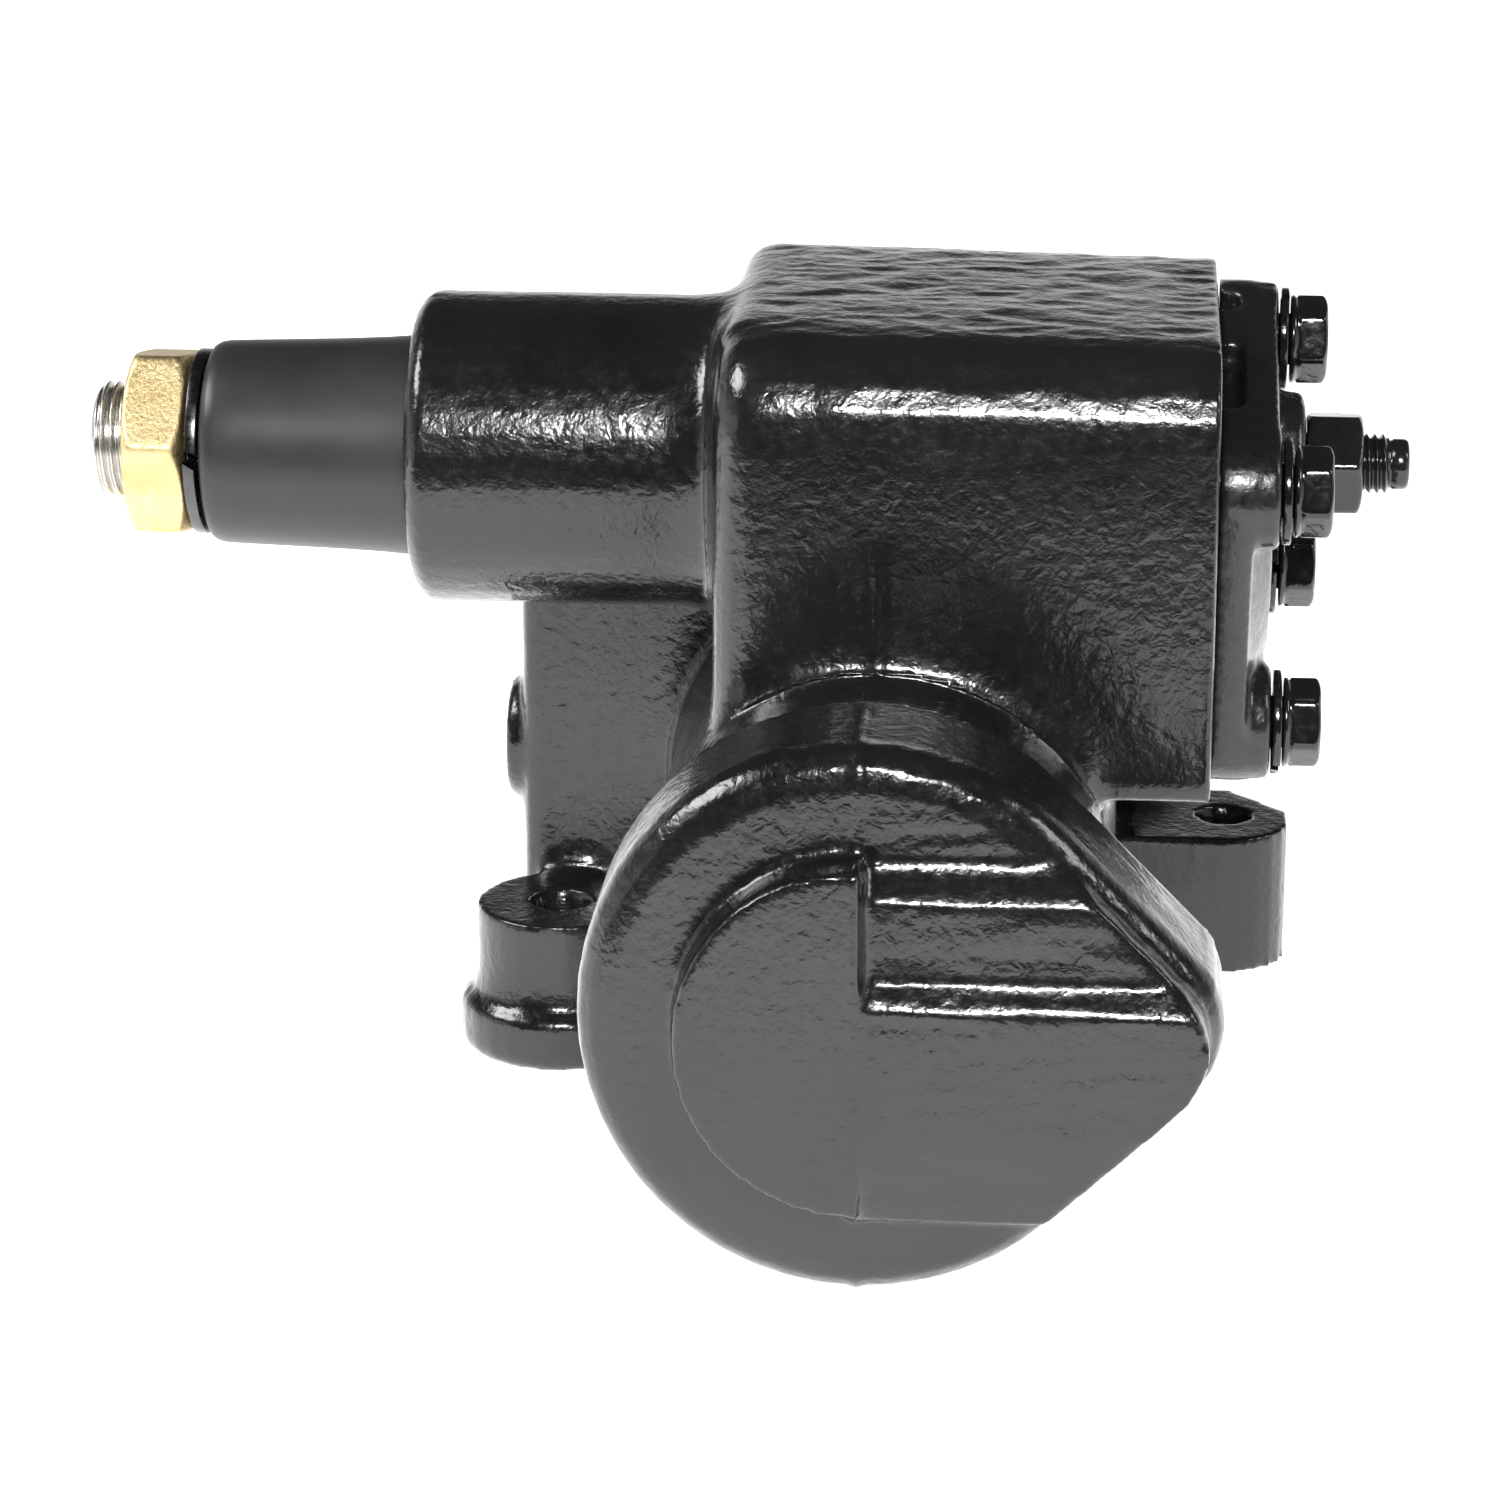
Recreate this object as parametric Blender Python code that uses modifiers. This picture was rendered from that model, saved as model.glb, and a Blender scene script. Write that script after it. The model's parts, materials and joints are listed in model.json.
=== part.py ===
"""Recirculating-ball steering gearbox, modelled as an assembly of separate solids.

Frame: the output (sector) shaft lies along X and the worm along Y, below it. +Z points up from the
mounting plane, and the origin is on that plane, under the middle of the bounding box.
The parts hang from one empty, where the sector shaft's axis passes over the worm's. Distances in the
functions are from that empty.
"""

import math

import bmesh
import bpy
from mathutils import Matrix

MM = 0.001

# Driving dimensions
SHAFT_END_X = -151 * MM  # threaded end of the sector shaft
ADJUSTER_END_X = 96 * MM  # plain end of the adjuster screw
CENTRES = 72 * MM  # sector shaft axis to worm axis
BORE_R = 37 * MM  # cylinder for the rack piston
WALL = 6.5 * MM
END_Y = -113 * MM  # rim of the closed cylinder end
BOSS_Y = -122 * MM  # face of the boss on that end
REAR_Y = 88 * MM  # joint face of the valve housing
INPUT_END_Y = 192 * MM  # splined end of the input shaft
FOOT_Z = -122.5 * MM  # mounting plane
COVER_X = 60 * MM  # joint face of the side cover
TUBE_X = -89.5 * MM  # mouth of the sector shaft tube
TUBE_R = 29.6 * MM
TUBE_BORE_R = 20 * MM
GAP = 0.3 * MM  # clearance between pieces

# Sector and rack: a 15-tooth pitch circle with three teeth cut on it
MODULE = 16 / 3 * MM
FULL_TEETH = 15
PITCH_R = MODULE * FULL_TEETH / 2
PRESSURE = math.radians(20)
ADDENDUM = 3.8 * MM
DEDENDUM = 4.6 * MM
BACKLASH = 0.2 * MM
TOOTH_STEP = 2 * math.pi / FULL_TEETH
FACE_W = 34 * MM
RACK_PITCH = math.pi * MODULE
RACK_H = CENTRES - PITCH_R  # rack pitch line above the worm axis

# Worm and balls
RATIO = 16
LEAD = 2 * math.pi * PITCH_R / RATIO
WORM_ROOT_R = 10.8 * MM
WORM_TIP_R = 13.8 * MM
BALL_R = 3.1 * MM
BALL_PITCH_R = 14.4 * MM
BALL_COUNT = 10
BALL_STEP = math.radians(33)

# Side cover bolts: a square turned about its centre, which lies below the sector shaft
COVER_Z = -13 * MM
BOLT_RING_R = 36.5 * MM
BOLT_TURN = math.radians(26)
OPENING_R = 30.3 * MM
EAR_OUT_R = 11.2 * MM
EAR_H = 11 * MM


def clear_scene():
    for old in list(bpy.data.objects):
        bpy.data.objects.remove(old, do_unlink=True)


def new_collection(name):
    made = bpy.data.collections.new(name)
    bpy.context.scene.collection.children.link(made)
    return made


def new_material(name, colour, roughness, metallic):
    made = bpy.data.materials.new(name)
    made.use_nodes = True
    shader = made.node_tree.nodes["Principled BSDF"]
    shader.inputs["Base Color"].default_value = (*colour, 1)
    shader.inputs["Roughness"].default_value = roughness
    shader.inputs["Metallic"].default_value = metallic
    return made


clear_scene()
PARTS = new_collection("worm_gearbox")
CUTTERS = new_collection("cutters")
ORIGIN = bpy.data.objects.new("assembly_origin", None)
ORIGIN.location = (-(SHAFT_END_X + ADJUSTER_END_X) / 2, -(BOSS_Y + INPUT_END_Y) / 2, -FOOT_Z)
PARTS.objects.link(ORIGIN)

BLACK_PAINT = new_material("black_paint", (0.012, 0.012, 0.012), 0.25, 0.0)
BLACK_STEEL = new_material("black_steel", (0.02, 0.02, 0.02), 0.25, 0.6)
BARE_STEEL = new_material("bare_steel", (0.55, 0.55, 0.54), 0.3, 1.0)
YELLOW_ZINC = new_material("yellow_zinc", (0.62, 0.48, 0.2), 0.4, 0.9)
BLACK_RUBBER = new_material("black_rubber", (0.03, 0.03, 0.03), 0.5, 0.0)
CAST_IRON = new_material("cast_iron", (0.2, 0.2, 0.19), 0.6, 0.8)
BRONZE = new_material("bronze", (0.5, 0.33, 0.15), 0.35, 1.0)

AXES = {
    "X": Matrix.Rotation(math.pi / 2, 4, "Y"),
    "Y": Matrix.Rotation(-math.pi / 2, 4, "X"),
    "Z": Matrix.Identity(4),
}


def add_object(name, mesh, matrix, material=None):
    """A part when it has a material, and otherwise a cutter or a piece for a Boolean."""
    made = bpy.data.objects.new(name, mesh)
    made.parent = ORIGIN
    made.matrix_local = matrix
    if material:
        mesh.materials.append(material)
        PARTS.objects.link(made)
    else:
        CUTTERS.objects.link(made)
        made.hide_render = True
        made.display_type = "WIRE"
    return made


def place(axis, at):
    return Matrix.Translation(at) @ AXES[axis]


def turned(name, profile, axis, at=(0, 0, 0), material=None, steps=40, ring=False):
    """A turned solid. The profile is (radius, height along the axis), from the top down its outer side."""
    mesh = bpy.data.meshes.new(name)
    count = len(profile)
    edges = [(i, i + 1) for i in range(count - 1)]
    if ring:
        edges.append((count - 1, 0))
    mesh.from_pydata([(r, 0, h) for r, h in profile], edges, [])
    made = add_object(name, mesh, place(axis, at), material)
    screw = made.modifiers.new("turn", "SCREW")
    screw.axis = "Z"
    screw.steps = steps
    screw.render_steps = steps
    screw.use_merge_vertices = True
    screw.merge_threshold = 0.00001
    screw.use_smooth_shade = False
    return made


def rod(name, radius, low, high, axis, at=(0, 0, 0), material=None, steps=40, chamfer=0.0):
    """A plain round bar from low to high along its axis, with chamfered ends if asked."""
    profile = [(0, high), (radius - chamfer, high), (radius, high - chamfer)]
    profile += [(radius, low + chamfer), (radius - chamfer, low), (0, low)]
    if not chamfer:
        profile = [(0, high), (radius, high), (radius, low), (0, low)]
    return turned(name, profile, axis, at, material, steps)


def ring(name, inner, outer, low, high, axis, at=(0, 0, 0), material=None, steps=40, chamfer=0.0):
    """A plain ring between two radii, with chamfered outer edges if asked."""
    profile = [(inner, high), (outer - chamfer, high)]
    if chamfer:
        profile += [(outer, high - chamfer), (outer, low + chamfer)]
    else:
        profile += [(outer, low)]
    if chamfer:
        profile += [(outer - chamfer, low)]
    elif len(profile) == 3:
        profile = [(inner, high), (outer, high), (outer, low)]
    profile += [(inner, low)]
    return turned(name, profile, axis, at, material, steps, ring=True)


def arc(centre, radius, start, end, count):
    """Points on an arc, angles in degrees, both ends included."""
    angles = [math.radians(start + (end - start) * i / (count - 1)) for i in range(count)]
    return [(centre[0] + radius * math.cos(a), centre[1] + radius * math.sin(a)) for a in angles]


def prism(name, outline, low, high, axis, at=(0, 0, 0), material=None):
    """An outline filled and extruded from low to high along its axis.

    The outline's two coordinates are (Y, Z) for axis X, (X, Z) for axis Y and (X, Y) for axis Z.
    """
    curve = bpy.data.curves.new(name, "CURVE")
    curve.dimensions = "2D"
    curve.fill_mode = "BOTH"
    curve.extrude = (high - low) / 2
    spline = curve.splines.new("POLY")
    spline.points.add(len(outline) - 1)
    for point, (u, v) in zip(spline.points, outline):
        point.co = (u, v, 0, 1)
    spline.use_cyclic_u = True
    drawn = bpy.data.objects.new(name, curve)
    bpy.context.scene.collection.objects.link(drawn)
    mesh = bpy.data.meshes.new_from_object(drawn.evaluated_get(bpy.context.evaluated_depsgraph_get()))
    bpy.data.objects.remove(drawn)
    bpy.data.curves.remove(curve)
    # Columns say where the outline's u, v and its thickness go
    turn = {
        "X": Matrix(((0, 0, 1, 0), (1, 0, 0, 0), (0, 1, 0, 0), (0, 0, 0, 1))),
        "Y": Matrix(((1, 0, 0, 0), (0, 0, -1, 0), (0, 1, 0, 0), (0, 0, 0, 1))),
        "Z": Matrix.Identity(4),
    }[axis]
    middle = (low + high) / 2
    along = {"X": (middle, 0, 0), "Y": (0, middle, 0), "Z": (0, 0, middle)}[axis]
    mesh.transform(Matrix.Translation(along) @ turn)
    solid = bmesh.new()
    solid.from_mesh(mesh)
    bmesh.ops.remove_doubles(solid, verts=solid.verts, dist=0.00001)
    bmesh.ops.dissolve_limit(solid, angle_limit=0.01, verts=solid.verts, edges=solid.edges)
    bmesh.ops.recalc_face_normals(solid, faces=solid.faces)
    solid.to_mesh(mesh)
    solid.free()
    return add_object(name, mesh, Matrix.Translation(at), material)


def block(name, low, high, at=(0, 0, 0), material=None):
    """A box between two corners."""
    mesh = bpy.data.meshes.new(name)
    solid = bmesh.new()
    size = [b - a for a, b in zip(low, high)]
    centre = [(a + b) / 2 for a, b in zip(low, high)]
    matrix = Matrix.Translation(centre) @ Matrix.Diagonal((*size, 1))
    bmesh.ops.create_cube(solid, size=1, matrix=matrix)
    solid.to_mesh(mesh)
    solid.free()
    return add_object(name, mesh, Matrix.Translation(at), material)


def round_edges(obj, radius, chosen, segments=3):
    """Rounds the edges whose two ends both pass the test."""
    solid = bmesh.new()
    solid.from_mesh(obj.data)
    edges = [e for e in solid.edges if all(chosen(v.co) for v in e.verts) and e.calc_face_angle() > 0.5]
    bmesh.ops.bevel(
        solid, geom=edges, offset=radius, segments=segments, profile=0.5, affect="EDGES", clamp_overlap=True
    )
    solid.to_mesh(obj.data)
    solid.free()
    return obj


def combine(target, other, operation):
    step = target.modifiers.new(operation.lower(), "BOOLEAN")
    step.operation = operation
    step.solver = "EXACT"
    step.object = other
    return target


def join(target, *others):
    for other in others:
        combine(target, other, "UNION")
    return target


def cut(target, *others):
    for other in others:
        combine(target, other, "DIFFERENCE")
    return target


def cover_bolt_places():
    """(Y, Z) of the four side cover bolts, starting with the one at the front."""
    places = []
    for k in range(4):
        a = BOLT_TURN + k * math.pi / 2
        places.append((-BOLT_RING_R * math.cos(a), COVER_Z + BOLT_RING_R * math.sin(a)))
    return places


WORM = (0, 0, -CENTRES)


# ---------------------------------------------------------------- main housing
LUGS = {
    "front_left": (-65 * MM, 8.5 * MM),
    "rear_left": (-59 * MM, 66 * MM),
    "right": (65.5 * MM, 71 * MM),
}
LUG_TOP_Z = -93.5 * MM
LUG_HOLE_R = 5.7 * MM
END_R = 49 * MM
NOSE_R = 15.7 * MM
END_DROP = 1.02  # the closed end is a little taller than wide


def end_outline(shrink=0.0):
    """The closed end: a circle with two 45-degree tangents that meet in a rounded nose at +X."""
    radius = END_R - shrink
    nose_x = (END_R - NOSE_R) * math.sqrt(2)
    outline = arc((0, 0), radius, 45, 315, 37)
    outline += arc((nose_x, 0), NOSE_R - shrink, -45, 45, 7)
    return [(x, z * END_DROP) for x, z in outline]


def end_block():
    """Rim, round boss on the left half, and the stepped rib that runs out to the nose."""
    rim = prism("end_rim", end_outline(), END_Y, END_Y + 29 * MM, "Y", WORM)
    front = lambda co: co.y < END_Y + 0.1 * MM
    round_edges(rim, 6.5 * MM, front, 3)
    boss = rod("end_boss", 31.5 * MM, BOSS_Y, END_Y + 12 * MM, "Y", WORM, steps=36)
    right_half = block("end_boss_trim", (1 * MM, END_Y - 20 * MM, -60 * MM), (60 * MM, END_Y + 30 * MM, 60 * MM), WORM)
    cut(boss, right_half)
    # Side view of the rib: two slanted steps out at the top, a flat face, and a long slope back below
    steps = [
        (END_Y + 10 * MM, 30 * MM),
        (END_Y, 30 * MM),
        (END_Y - 5 * MM, 25 * MM),
        (END_Y - 5.5 * MM, 11 * MM),
        (BOSS_Y, 7 * MM),
        (BOSS_Y, -16 * MM),
        (END_Y - 6 * MM, -32.5 * MM),
        (END_Y, -34.5 * MM),
        (END_Y + 10 * MM, -34.5 * MM),
    ]
    rib = prism("end_rib", steps, -1.5 * MM, 70 * MM, "X", WORM)
    limit = prism("end_rib_limit", end_outline(3 * MM), END_Y - 20 * MM, END_Y + 8 * MM, "Y", WORM)
    combine(rib, limit, "INTERSECT")
    return rim, boss, rib


def sector_box():
    """The chamber for the sector gear, rounded along its top edges and its left end."""
    left, top, low, half = -31 * MM, 32.5 * MM, -52 * MM, 52 * MM
    big, small, fall = 17 * MM, 5 * MM, 1.7 * MM
    outline = arc((half - big, top - big), big, 0, 90, 6)
    outline += arc((-half + big, top - big), big, 90, 180, 6)
    outline += arc((-half + small, low + small), small, 180, 270, 3)
    outline += arc((half - small, low + small), small, 270, 360, 3)
    box = prism("sector_box", outline, left, COVER_X, "X")
    round_edges(box, 9 * MM, lambda co: co.x < left + 0.1 * MM, 4)
    for vertex in box.data.vertices:  # the top falls a little towards the side cover
        if vertex.co.z > 0:
            vertex.co.z *= 1 - fall / top * (vertex.co.x - left) / (COVER_X - left)
    return box


def lug(name, pad_r, boss_r, inward):
    """A foot: a wide pad, a boss on it, and a web that ties both to the cylinder."""
    x, y = LUGS[name]
    pad_top = FOOT_Z + 11 * MM
    pad = rod(name + "_pad", pad_r, FOOT_Z, pad_top, "Z", (x, y, 0), steps=28, chamfer=1.5 * MM)
    boss = rod(name + "_boss", boss_r, FOOT_Z + 3 * MM, LUG_TOP_Z, "Z", (x, y, 0), steps=28)
    low = (x + 2.3 * MM, y - boss_r * 0.57, FOOT_Z + 4 * MM)
    high = (x + inward, y + boss_r * 0.57, LUG_TOP_Z - 1 * MM)
    return pad, boss, block(name + "_web", low, high)


def right_lug():
    """A foot with a straight back and a slanted corner, on a web that reaches the cylinder."""
    x, y = LUGS["right"]
    outline = arc((x, y - 3 * MM), 13.5 * MM, 270, 350, 6)
    outline += [(x + 13.2 * MM, y + 3 * MM), (x + 2 * MM, y + 16 * MM), (x - 34 * MM, y + 16 * MM)]
    outline += [(x - 34 * MM, y - 16.2 * MM)]
    return prism("right_lug", outline, FOOT_Z, LUG_TOP_Z, "Z")


def chamber_cutter():
    """Room for the three teeth to swing below the shaft, and for the shaft above."""
    outline = arc((0, 0), 45.5 * MM, 182, 358, 22)
    outline += arc((0, 0), 19 * MM, 10, 170, 9)
    return prism("chamber", outline, -21 * MM, 24 * MM, "X")


def make_housing():
    cylinder = rod("housing", BORE_R + WALL, END_Y + 8 * MM, REAR_Y - 3 * MM, "Y", WORM, BLACK_PAINT, steps=48)
    join(cylinder, *end_block(), sector_box())
    tube = turned(
        "tube",
        [(0, -20 * MM), (TUBE_R, -20 * MM), (TUBE_R, TUBE_X + 2.5 * MM), (TUBE_R - 2.5 * MM, TUBE_X), (0, TUBE_X)],
        "X",
        steps=40,
    )
    plate = block("left_plate", (-75 * MM, 25.5 * MM, LUG_TOP_Z - 12 * MM), (-27 * MM, 54 * MM, -8 * MM))
    round_edges(plate, 4 * MM, lambda co: co.x < -74 * MM, 2)
    side_boss = rod("side_boss", 12.3 * MM, -78.5 * MM, -70 * MM, "X", (0, 40 * MM, -70 * MM), steps=28, chamfer=0.8 * MM)
    join(cylinder, tube, plate, side_boss)
    join(cylinder, *lug("front_left", 20.3 * MM, 16.8 * MM, 34 * MM))
    join(cylinder, *lug("rear_left", 17.5 * MM, 15 * MM, 26 * MM))
    join(cylinder, right_lug(), flange("rear_flange", REAR_Y - 13 * MM, REAR_Y))

    cut(cylinder, rod("bore", BORE_R, END_Y + 10 * MM, REAR_Y + 5 * MM, "Y", WORM, steps=48))
    cut(cylinder, chamber_cutter())
    cut(cylinder, rod("opening", OPENING_R, 20 * MM, COVER_X + 5 * MM, "X", (0, 0, COVER_Z), steps=40))
    cut(cylinder, tube_cutter())
    for name, (x, y) in LUGS.items():
        cut(cylinder, rod(name + "_hole", LUG_HOLE_R, FOOT_Z - 5 * MM, LUG_TOP_Z + 20 * MM, "Z", (x, y, 0), steps=20))
    for k, (y, z) in enumerate(cover_bolt_places()):
        cut(cylinder, rod(f"cover_thread_{k}", 5.2 * MM, COVER_X - 20 * MM, COVER_X + 5 * MM, "X", (0, y, z), steps=14))
    for k, (x, z) in enumerate(flange_bolt_places()):
        spot = (x, 0, z - CENTRES)
        cut(cylinder, rod(f"flange_thread_{k}", 4.7 * MM, REAR_Y - 11 * MM, REAR_Y + 5 * MM, "Y", spot, steps=14))
    side_hole = rod("side_hole", 5 * MM, -80 * MM, -58 * MM, "X", (0, 40 * MM, -70 * MM), steps=16)
    return cut(cylinder, side_hole)


def tube_cutter():
    """Bearing seat, seal pocket and snap ring groove of the sector shaft tube."""
    seat, pocket, groove = TUBE_BORE_R, 23.5 * MM, 24.6 * MM
    profile = [(0, -10 * MM), (seat, -10 * MM), (seat, -69.6 * MM), (pocket, -69.6 * MM)]
    profile += [(pocket, -84.2 * MM), (groove, -84.2 * MM), (groove, -86 * MM), (pocket, -86 * MM)]
    profile += [(pocket, TUBE_X - 5 * MM), (0, TUBE_X - 5 * MM)]
    return turned("tube_bore", profile, "X", steps=40)


# ------------------------------------------------------------- valve housing
FLANGE_BOLT = 37.5 * MM
EAR_R = 11 * MM


def flange_bolt_places():
    """(X, Z) about the worm axis of the four bolts at the rear joint."""
    return [(sx * FLANGE_BOLT, sz * FLANGE_BOLT) for sx in (-1, 1) for sz in (-1, 1)]


def flange(name, low, high):
    """A square flange with rounded ears round its bolts."""
    outline = []
    for sx, sz, start in ((1, 1, 0), (-1, 1, 90), (-1, -1, 180), (1, -1, 270)):
        outline += arc((sx * FLANGE_BOLT, sz * FLANGE_BOLT), EAR_R, start, start + 90, 5)
    return prism(name, outline, low, high, "Y", WORM)


def make_valve_housing():
    low = REAR_Y + GAP
    outer = [(0, 148 * MM), (40 * MM, 148 * MM), (42 * MM, 146 * MM), (43.5 * MM, 102 * MM), (46 * MM, 98 * MM)]
    outer += [(46 * MM, low + 2 * MM), (0, low + 2 * MM)]
    body = turned("valve_housing", outer, "Y", WORM, BLACK_PAINT, steps=36)
    join(body, flange("valve_flange", low, low + 12 * MM))
    port_block = block("port_block", (-24 * MM, 106 * MM, 20 * MM), (24 * MM, 138 * MM, 51 * MM), WORM)
    round_edges(port_block, 6 * MM, lambda co: co.z > 50 * MM and abs(co.x) > 23 * MM, 3)
    join(body, port_block)
    inner = [(0, 152 * MM), (33 * MM, 152 * MM), (33 * MM, 139.7 * MM), (25 * MM, 139.7 * MM), (25 * MM, 97 * MM)]
    inner += [(16 * MM, 97 * MM), (16 * MM, low - 3 * MM), (0, low - 3 * MM)]
    cut(body, turned("valve_bore", inner, "Y", WORM, steps=28))
    for name, x, radius in (("pressure", -12 * MM, 6.5 * MM), ("return", 12 * MM, 7.5 * MM)):
        cut(body, rod(name + "_port", radius, 15 * MM, 60 * MM, "Z", (x, 122 * MM, -CENTRES), steps=20))
    for k, (x, z) in enumerate(flange_bolt_places()):
        hole = rod(f"flange_hole_{k}", 4.7 * MM, low - 5 * MM, low + 20 * MM, "Y", (x, 0, z - CENTRES), steps=14)
        seat = rod(f"flange_seat_{k}", 9.5 * MM, low + 11 * MM, low + 40 * MM, "Y", (x, 0, z - CENTRES), steps=20)
        cut(body, hole, seat)
    return body


# ---------------------------------------------------------------- side cover
def cover_outline():
    """Four bolt ears joined by straight sides."""
    outline = []
    for k, (y, z) in enumerate(reversed(cover_bolt_places())):
        middle = math.degrees(math.atan2(z - COVER_Z, y))
        outline += arc((y, z), EAR_OUT_R, middle - 45, middle + 45, 6)
    return outline


def make_side_cover():
    low = COVER_X + GAP
    ear_top = low + EAR_H
    plate = prism("side_cover", cover_outline(), low, low + 6.2 * MM, "X", (0, 0, 0), BLACK_PAINT)
    spigot_r, groove_r = OPENING_R - GAP, OPENING_R - 1.7 * MM
    spigot_profile = [(0, low + 3 * MM), (spigot_r, low + 3 * MM), (spigot_r, 52.6 * MM), (groove_r, 52.6 * MM)]
    spigot_profile += [(groove_r, 49 * MM), (spigot_r, 49 * MM), (spigot_r, 44.3 * MM), (0, 44.3 * MM)]
    spigot = turned("spigot", spigot_profile, "X", (0, 0, COVER_Z), steps=40)
    dome_profile = [(0, 70.6 * MM), (22 * MM, 70.6 * MM), (33 * MM, 66.2 * MM), (34 * MM, 64 * MM), (0, 64 * MM)]
    dome = turned("dome", dome_profile, "X", (0, 0, COVER_Z), steps=32)
    hub = rod("adjuster_boss", 13.3 * MM, 62 * MM, 76.5 * MM, "X", steps=28, chamfer=1 * MM)
    # The side from the front ear to the upper ear is as thick as the ears
    front, upper = cover_bolt_places()[0], cover_bolt_places()[1]
    length = math.dist(front, upper)
    along = ((upper[0] - front[0]) / length, (upper[1] - front[1]) / length)
    out = (-along[1], along[0])

    def spot(run, height):
        return (front[0] + along[0] * run + out[0] * height, front[1] + along[1] * run + out[1] * height)

    def side_bar(name, start, end, bottom, top, thick_low, thick_high):
        corners = [spot(start, bottom), spot(end, bottom), spot(end, top), spot(start, top)]
        return prism(name, corners, thick_low, thick_high, "X")

    web = side_bar("cover_web", 0, length, -1 * MM, EAR_OUT_R - 0.1 * MM, low + 1 * MM, ear_top - 0.4 * MM)
    join(plate, spigot, dome, hub, web)
    for k, (y, z) in enumerate(cover_bolt_places()):
        join(plate, rod(f"ear_{k}", 10.8 * MM, low + 0.6 * MM, ear_top, "X", (0, y, z), steps=24))
    # Cast reliefs beside the joint face
    long_relief = side_bar("long_relief", 11 * MM, 32 * MM, 7 * MM, 14 * MM, low - 2 * MM, low + 4.2 * MM)
    short_relief = side_bar("short_relief", 45 * MM, 50.5 * MM, 8 * MM, 14 * MM, low - 2 * MM, low + 3.9 * MM)
    cut(plate, long_relief, short_relief)
    # Inside: bush seat, room for the adjuster's head, and its threaded hole
    inside = [(0, 80 * MM), (5.9 * MM, 80 * MM), (5.9 * MM, 58 * MM), (13.8 * MM, 58 * MM)]
    inside += [(13.8 * MM, 40 * MM), (0, 40 * MM)]
    cut(plate, turned("cover_bore", inside, "X", steps=32))
    for k, (y, z) in enumerate(cover_bolt_places()):
        cut(plate, rod(f"cover_hole_{k}", 5.4 * MM, low - 5 * MM, low + 20 * MM, "X", (0, y, z), steps=14))
    return plate


def hex_head(name, across, low, high, axis, at, material=None, turn=10):
    """A hexagonal prism with its top corners taken off."""
    radius = across / math.sqrt(3)
    angles = [math.radians(turn + 60 * k) for k in range(6)]
    outline = [(radius * math.cos(a), radius * math.sin(a)) for a in angles]
    head = prism(name, outline, low, high, axis, at, material)
    top = high + 0.5 * MM
    limit = turned(
        name + "_limit",
        [(0, top), (across / 2 - 0.3 * MM, top), (across / 2 + 2 * MM, top - 1.8 * MM)]
        + [(across / 2 + 3 * MM, low - 1 * MM), (0, low - 1 * MM)],
        axis,
        at,
        steps=24,
    )
    combine(head, limit, "INTERSECT")
    return head


def make_cover_bolts():
    low = COVER_X + EAR_H + 2 * GAP
    for k, (y, z) in enumerate(cover_bolt_places(), 1):
        at = (0, y, z)
        ring(f"cover_washer_{k}", 5.3 * MM, 9.7 * MM, low, low + 1.8 * MM, "X", at, BLACK_STEEL, 20, 0.4 * MM)
        head = low + 1.8 * MM + GAP
        bolt = hex_head(f"cover_bolt_{k}", 14.8 * MM, head, head + 7 * MM, "X", at, BLACK_STEEL)
        join(bolt, rod(f"cover_shank_{k}", 4.9 * MM, COVER_X - 18 * MM, head + 1 * MM, "X", at, steps=14))


def make_adjuster():
    """Lash adjuster: a screw whose head sits in the end of the sector shaft, and its locknut."""
    profile = [(0, ADJUSTER_END_X), (4.2 * MM, ADJUSTER_END_X), (4.9 * MM, ADJUSTER_END_X - 0.7 * MM), (4.9 * MM, 91.5 * MM)]
    profile += [(5.6 * MM, 91 * MM), (5.6 * MM, 50.7 * MM), (7.8 * MM, 50.7 * MM), (7.8 * MM, 47.5 * MM)]
    profile += [(0, 47.5 * MM)]
    turned("adjuster_screw", profile, "X", (0, 0, 0), BLACK_STEEL, steps=24)
    nut = hex_head("adjuster_locknut", 18 * MM, 76.8 * MM, 87.3 * MM, "X", (0, 0, 0), BLACK_STEEL, turn=-9)
    cut(nut, rod("locknut_hole", 5.9 * MM, 70 * MM, 95 * MM, "X", steps=24))


def make_cover_inside():
    ring("side_cover_bush", 11.3 * MM, 13.5 * MM, 42.5 * MM, 57.5 * MM, "X", (0, 0, 0), BRONZE, 24)
    ring("side_cover_o_ring", 28.9 * MM, 30 * MM, 49.3 * MM, 52.3 * MM, "X", (0, 0, COVER_Z), BLACK_RUBBER, 32)


# -------------------------------------------------------------- sector shaft
def involute(angle):
    return math.tan(angle) - angle


def flank_half_angle(radius):
    """Half the angle that a tooth fills at a radius, held constant below the base circle."""
    base = PITCH_R * math.cos(PRESSURE)
    at_pitch = (math.pi * MODULE / 2 - BACKLASH) / (2 * PITCH_R)
    here = math.acos(base / max(radius, base))
    return at_pitch + involute(PRESSURE) - involute(here)


def sector_outline():
    """Three teeth on a fan that widens from the shaft, in the Y-Z plane, pointing down."""
    root, tip = PITCH_R - 4.7 * MM, PITCH_R + ADDENDUM
    radii = [root, PITCH_R * math.cos(PRESSURE), PITCH_R - 1 * MM, PITCH_R + 1.4 * MM, tip]
    outline = [(-9 * MM, 5 * MM)]
    for k in (-1, 0, 1):
        centre = -math.pi / 2 + k * TOOTH_STEP
        for side, order in ((-1, radii), (1, list(reversed(radii)))):
            for r in order:
                a = centre + side * flank_half_angle(r)
                outline.append((r * math.cos(a), r * math.sin(a)))
    return outline + [(9 * MM, 5 * MM)]


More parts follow.
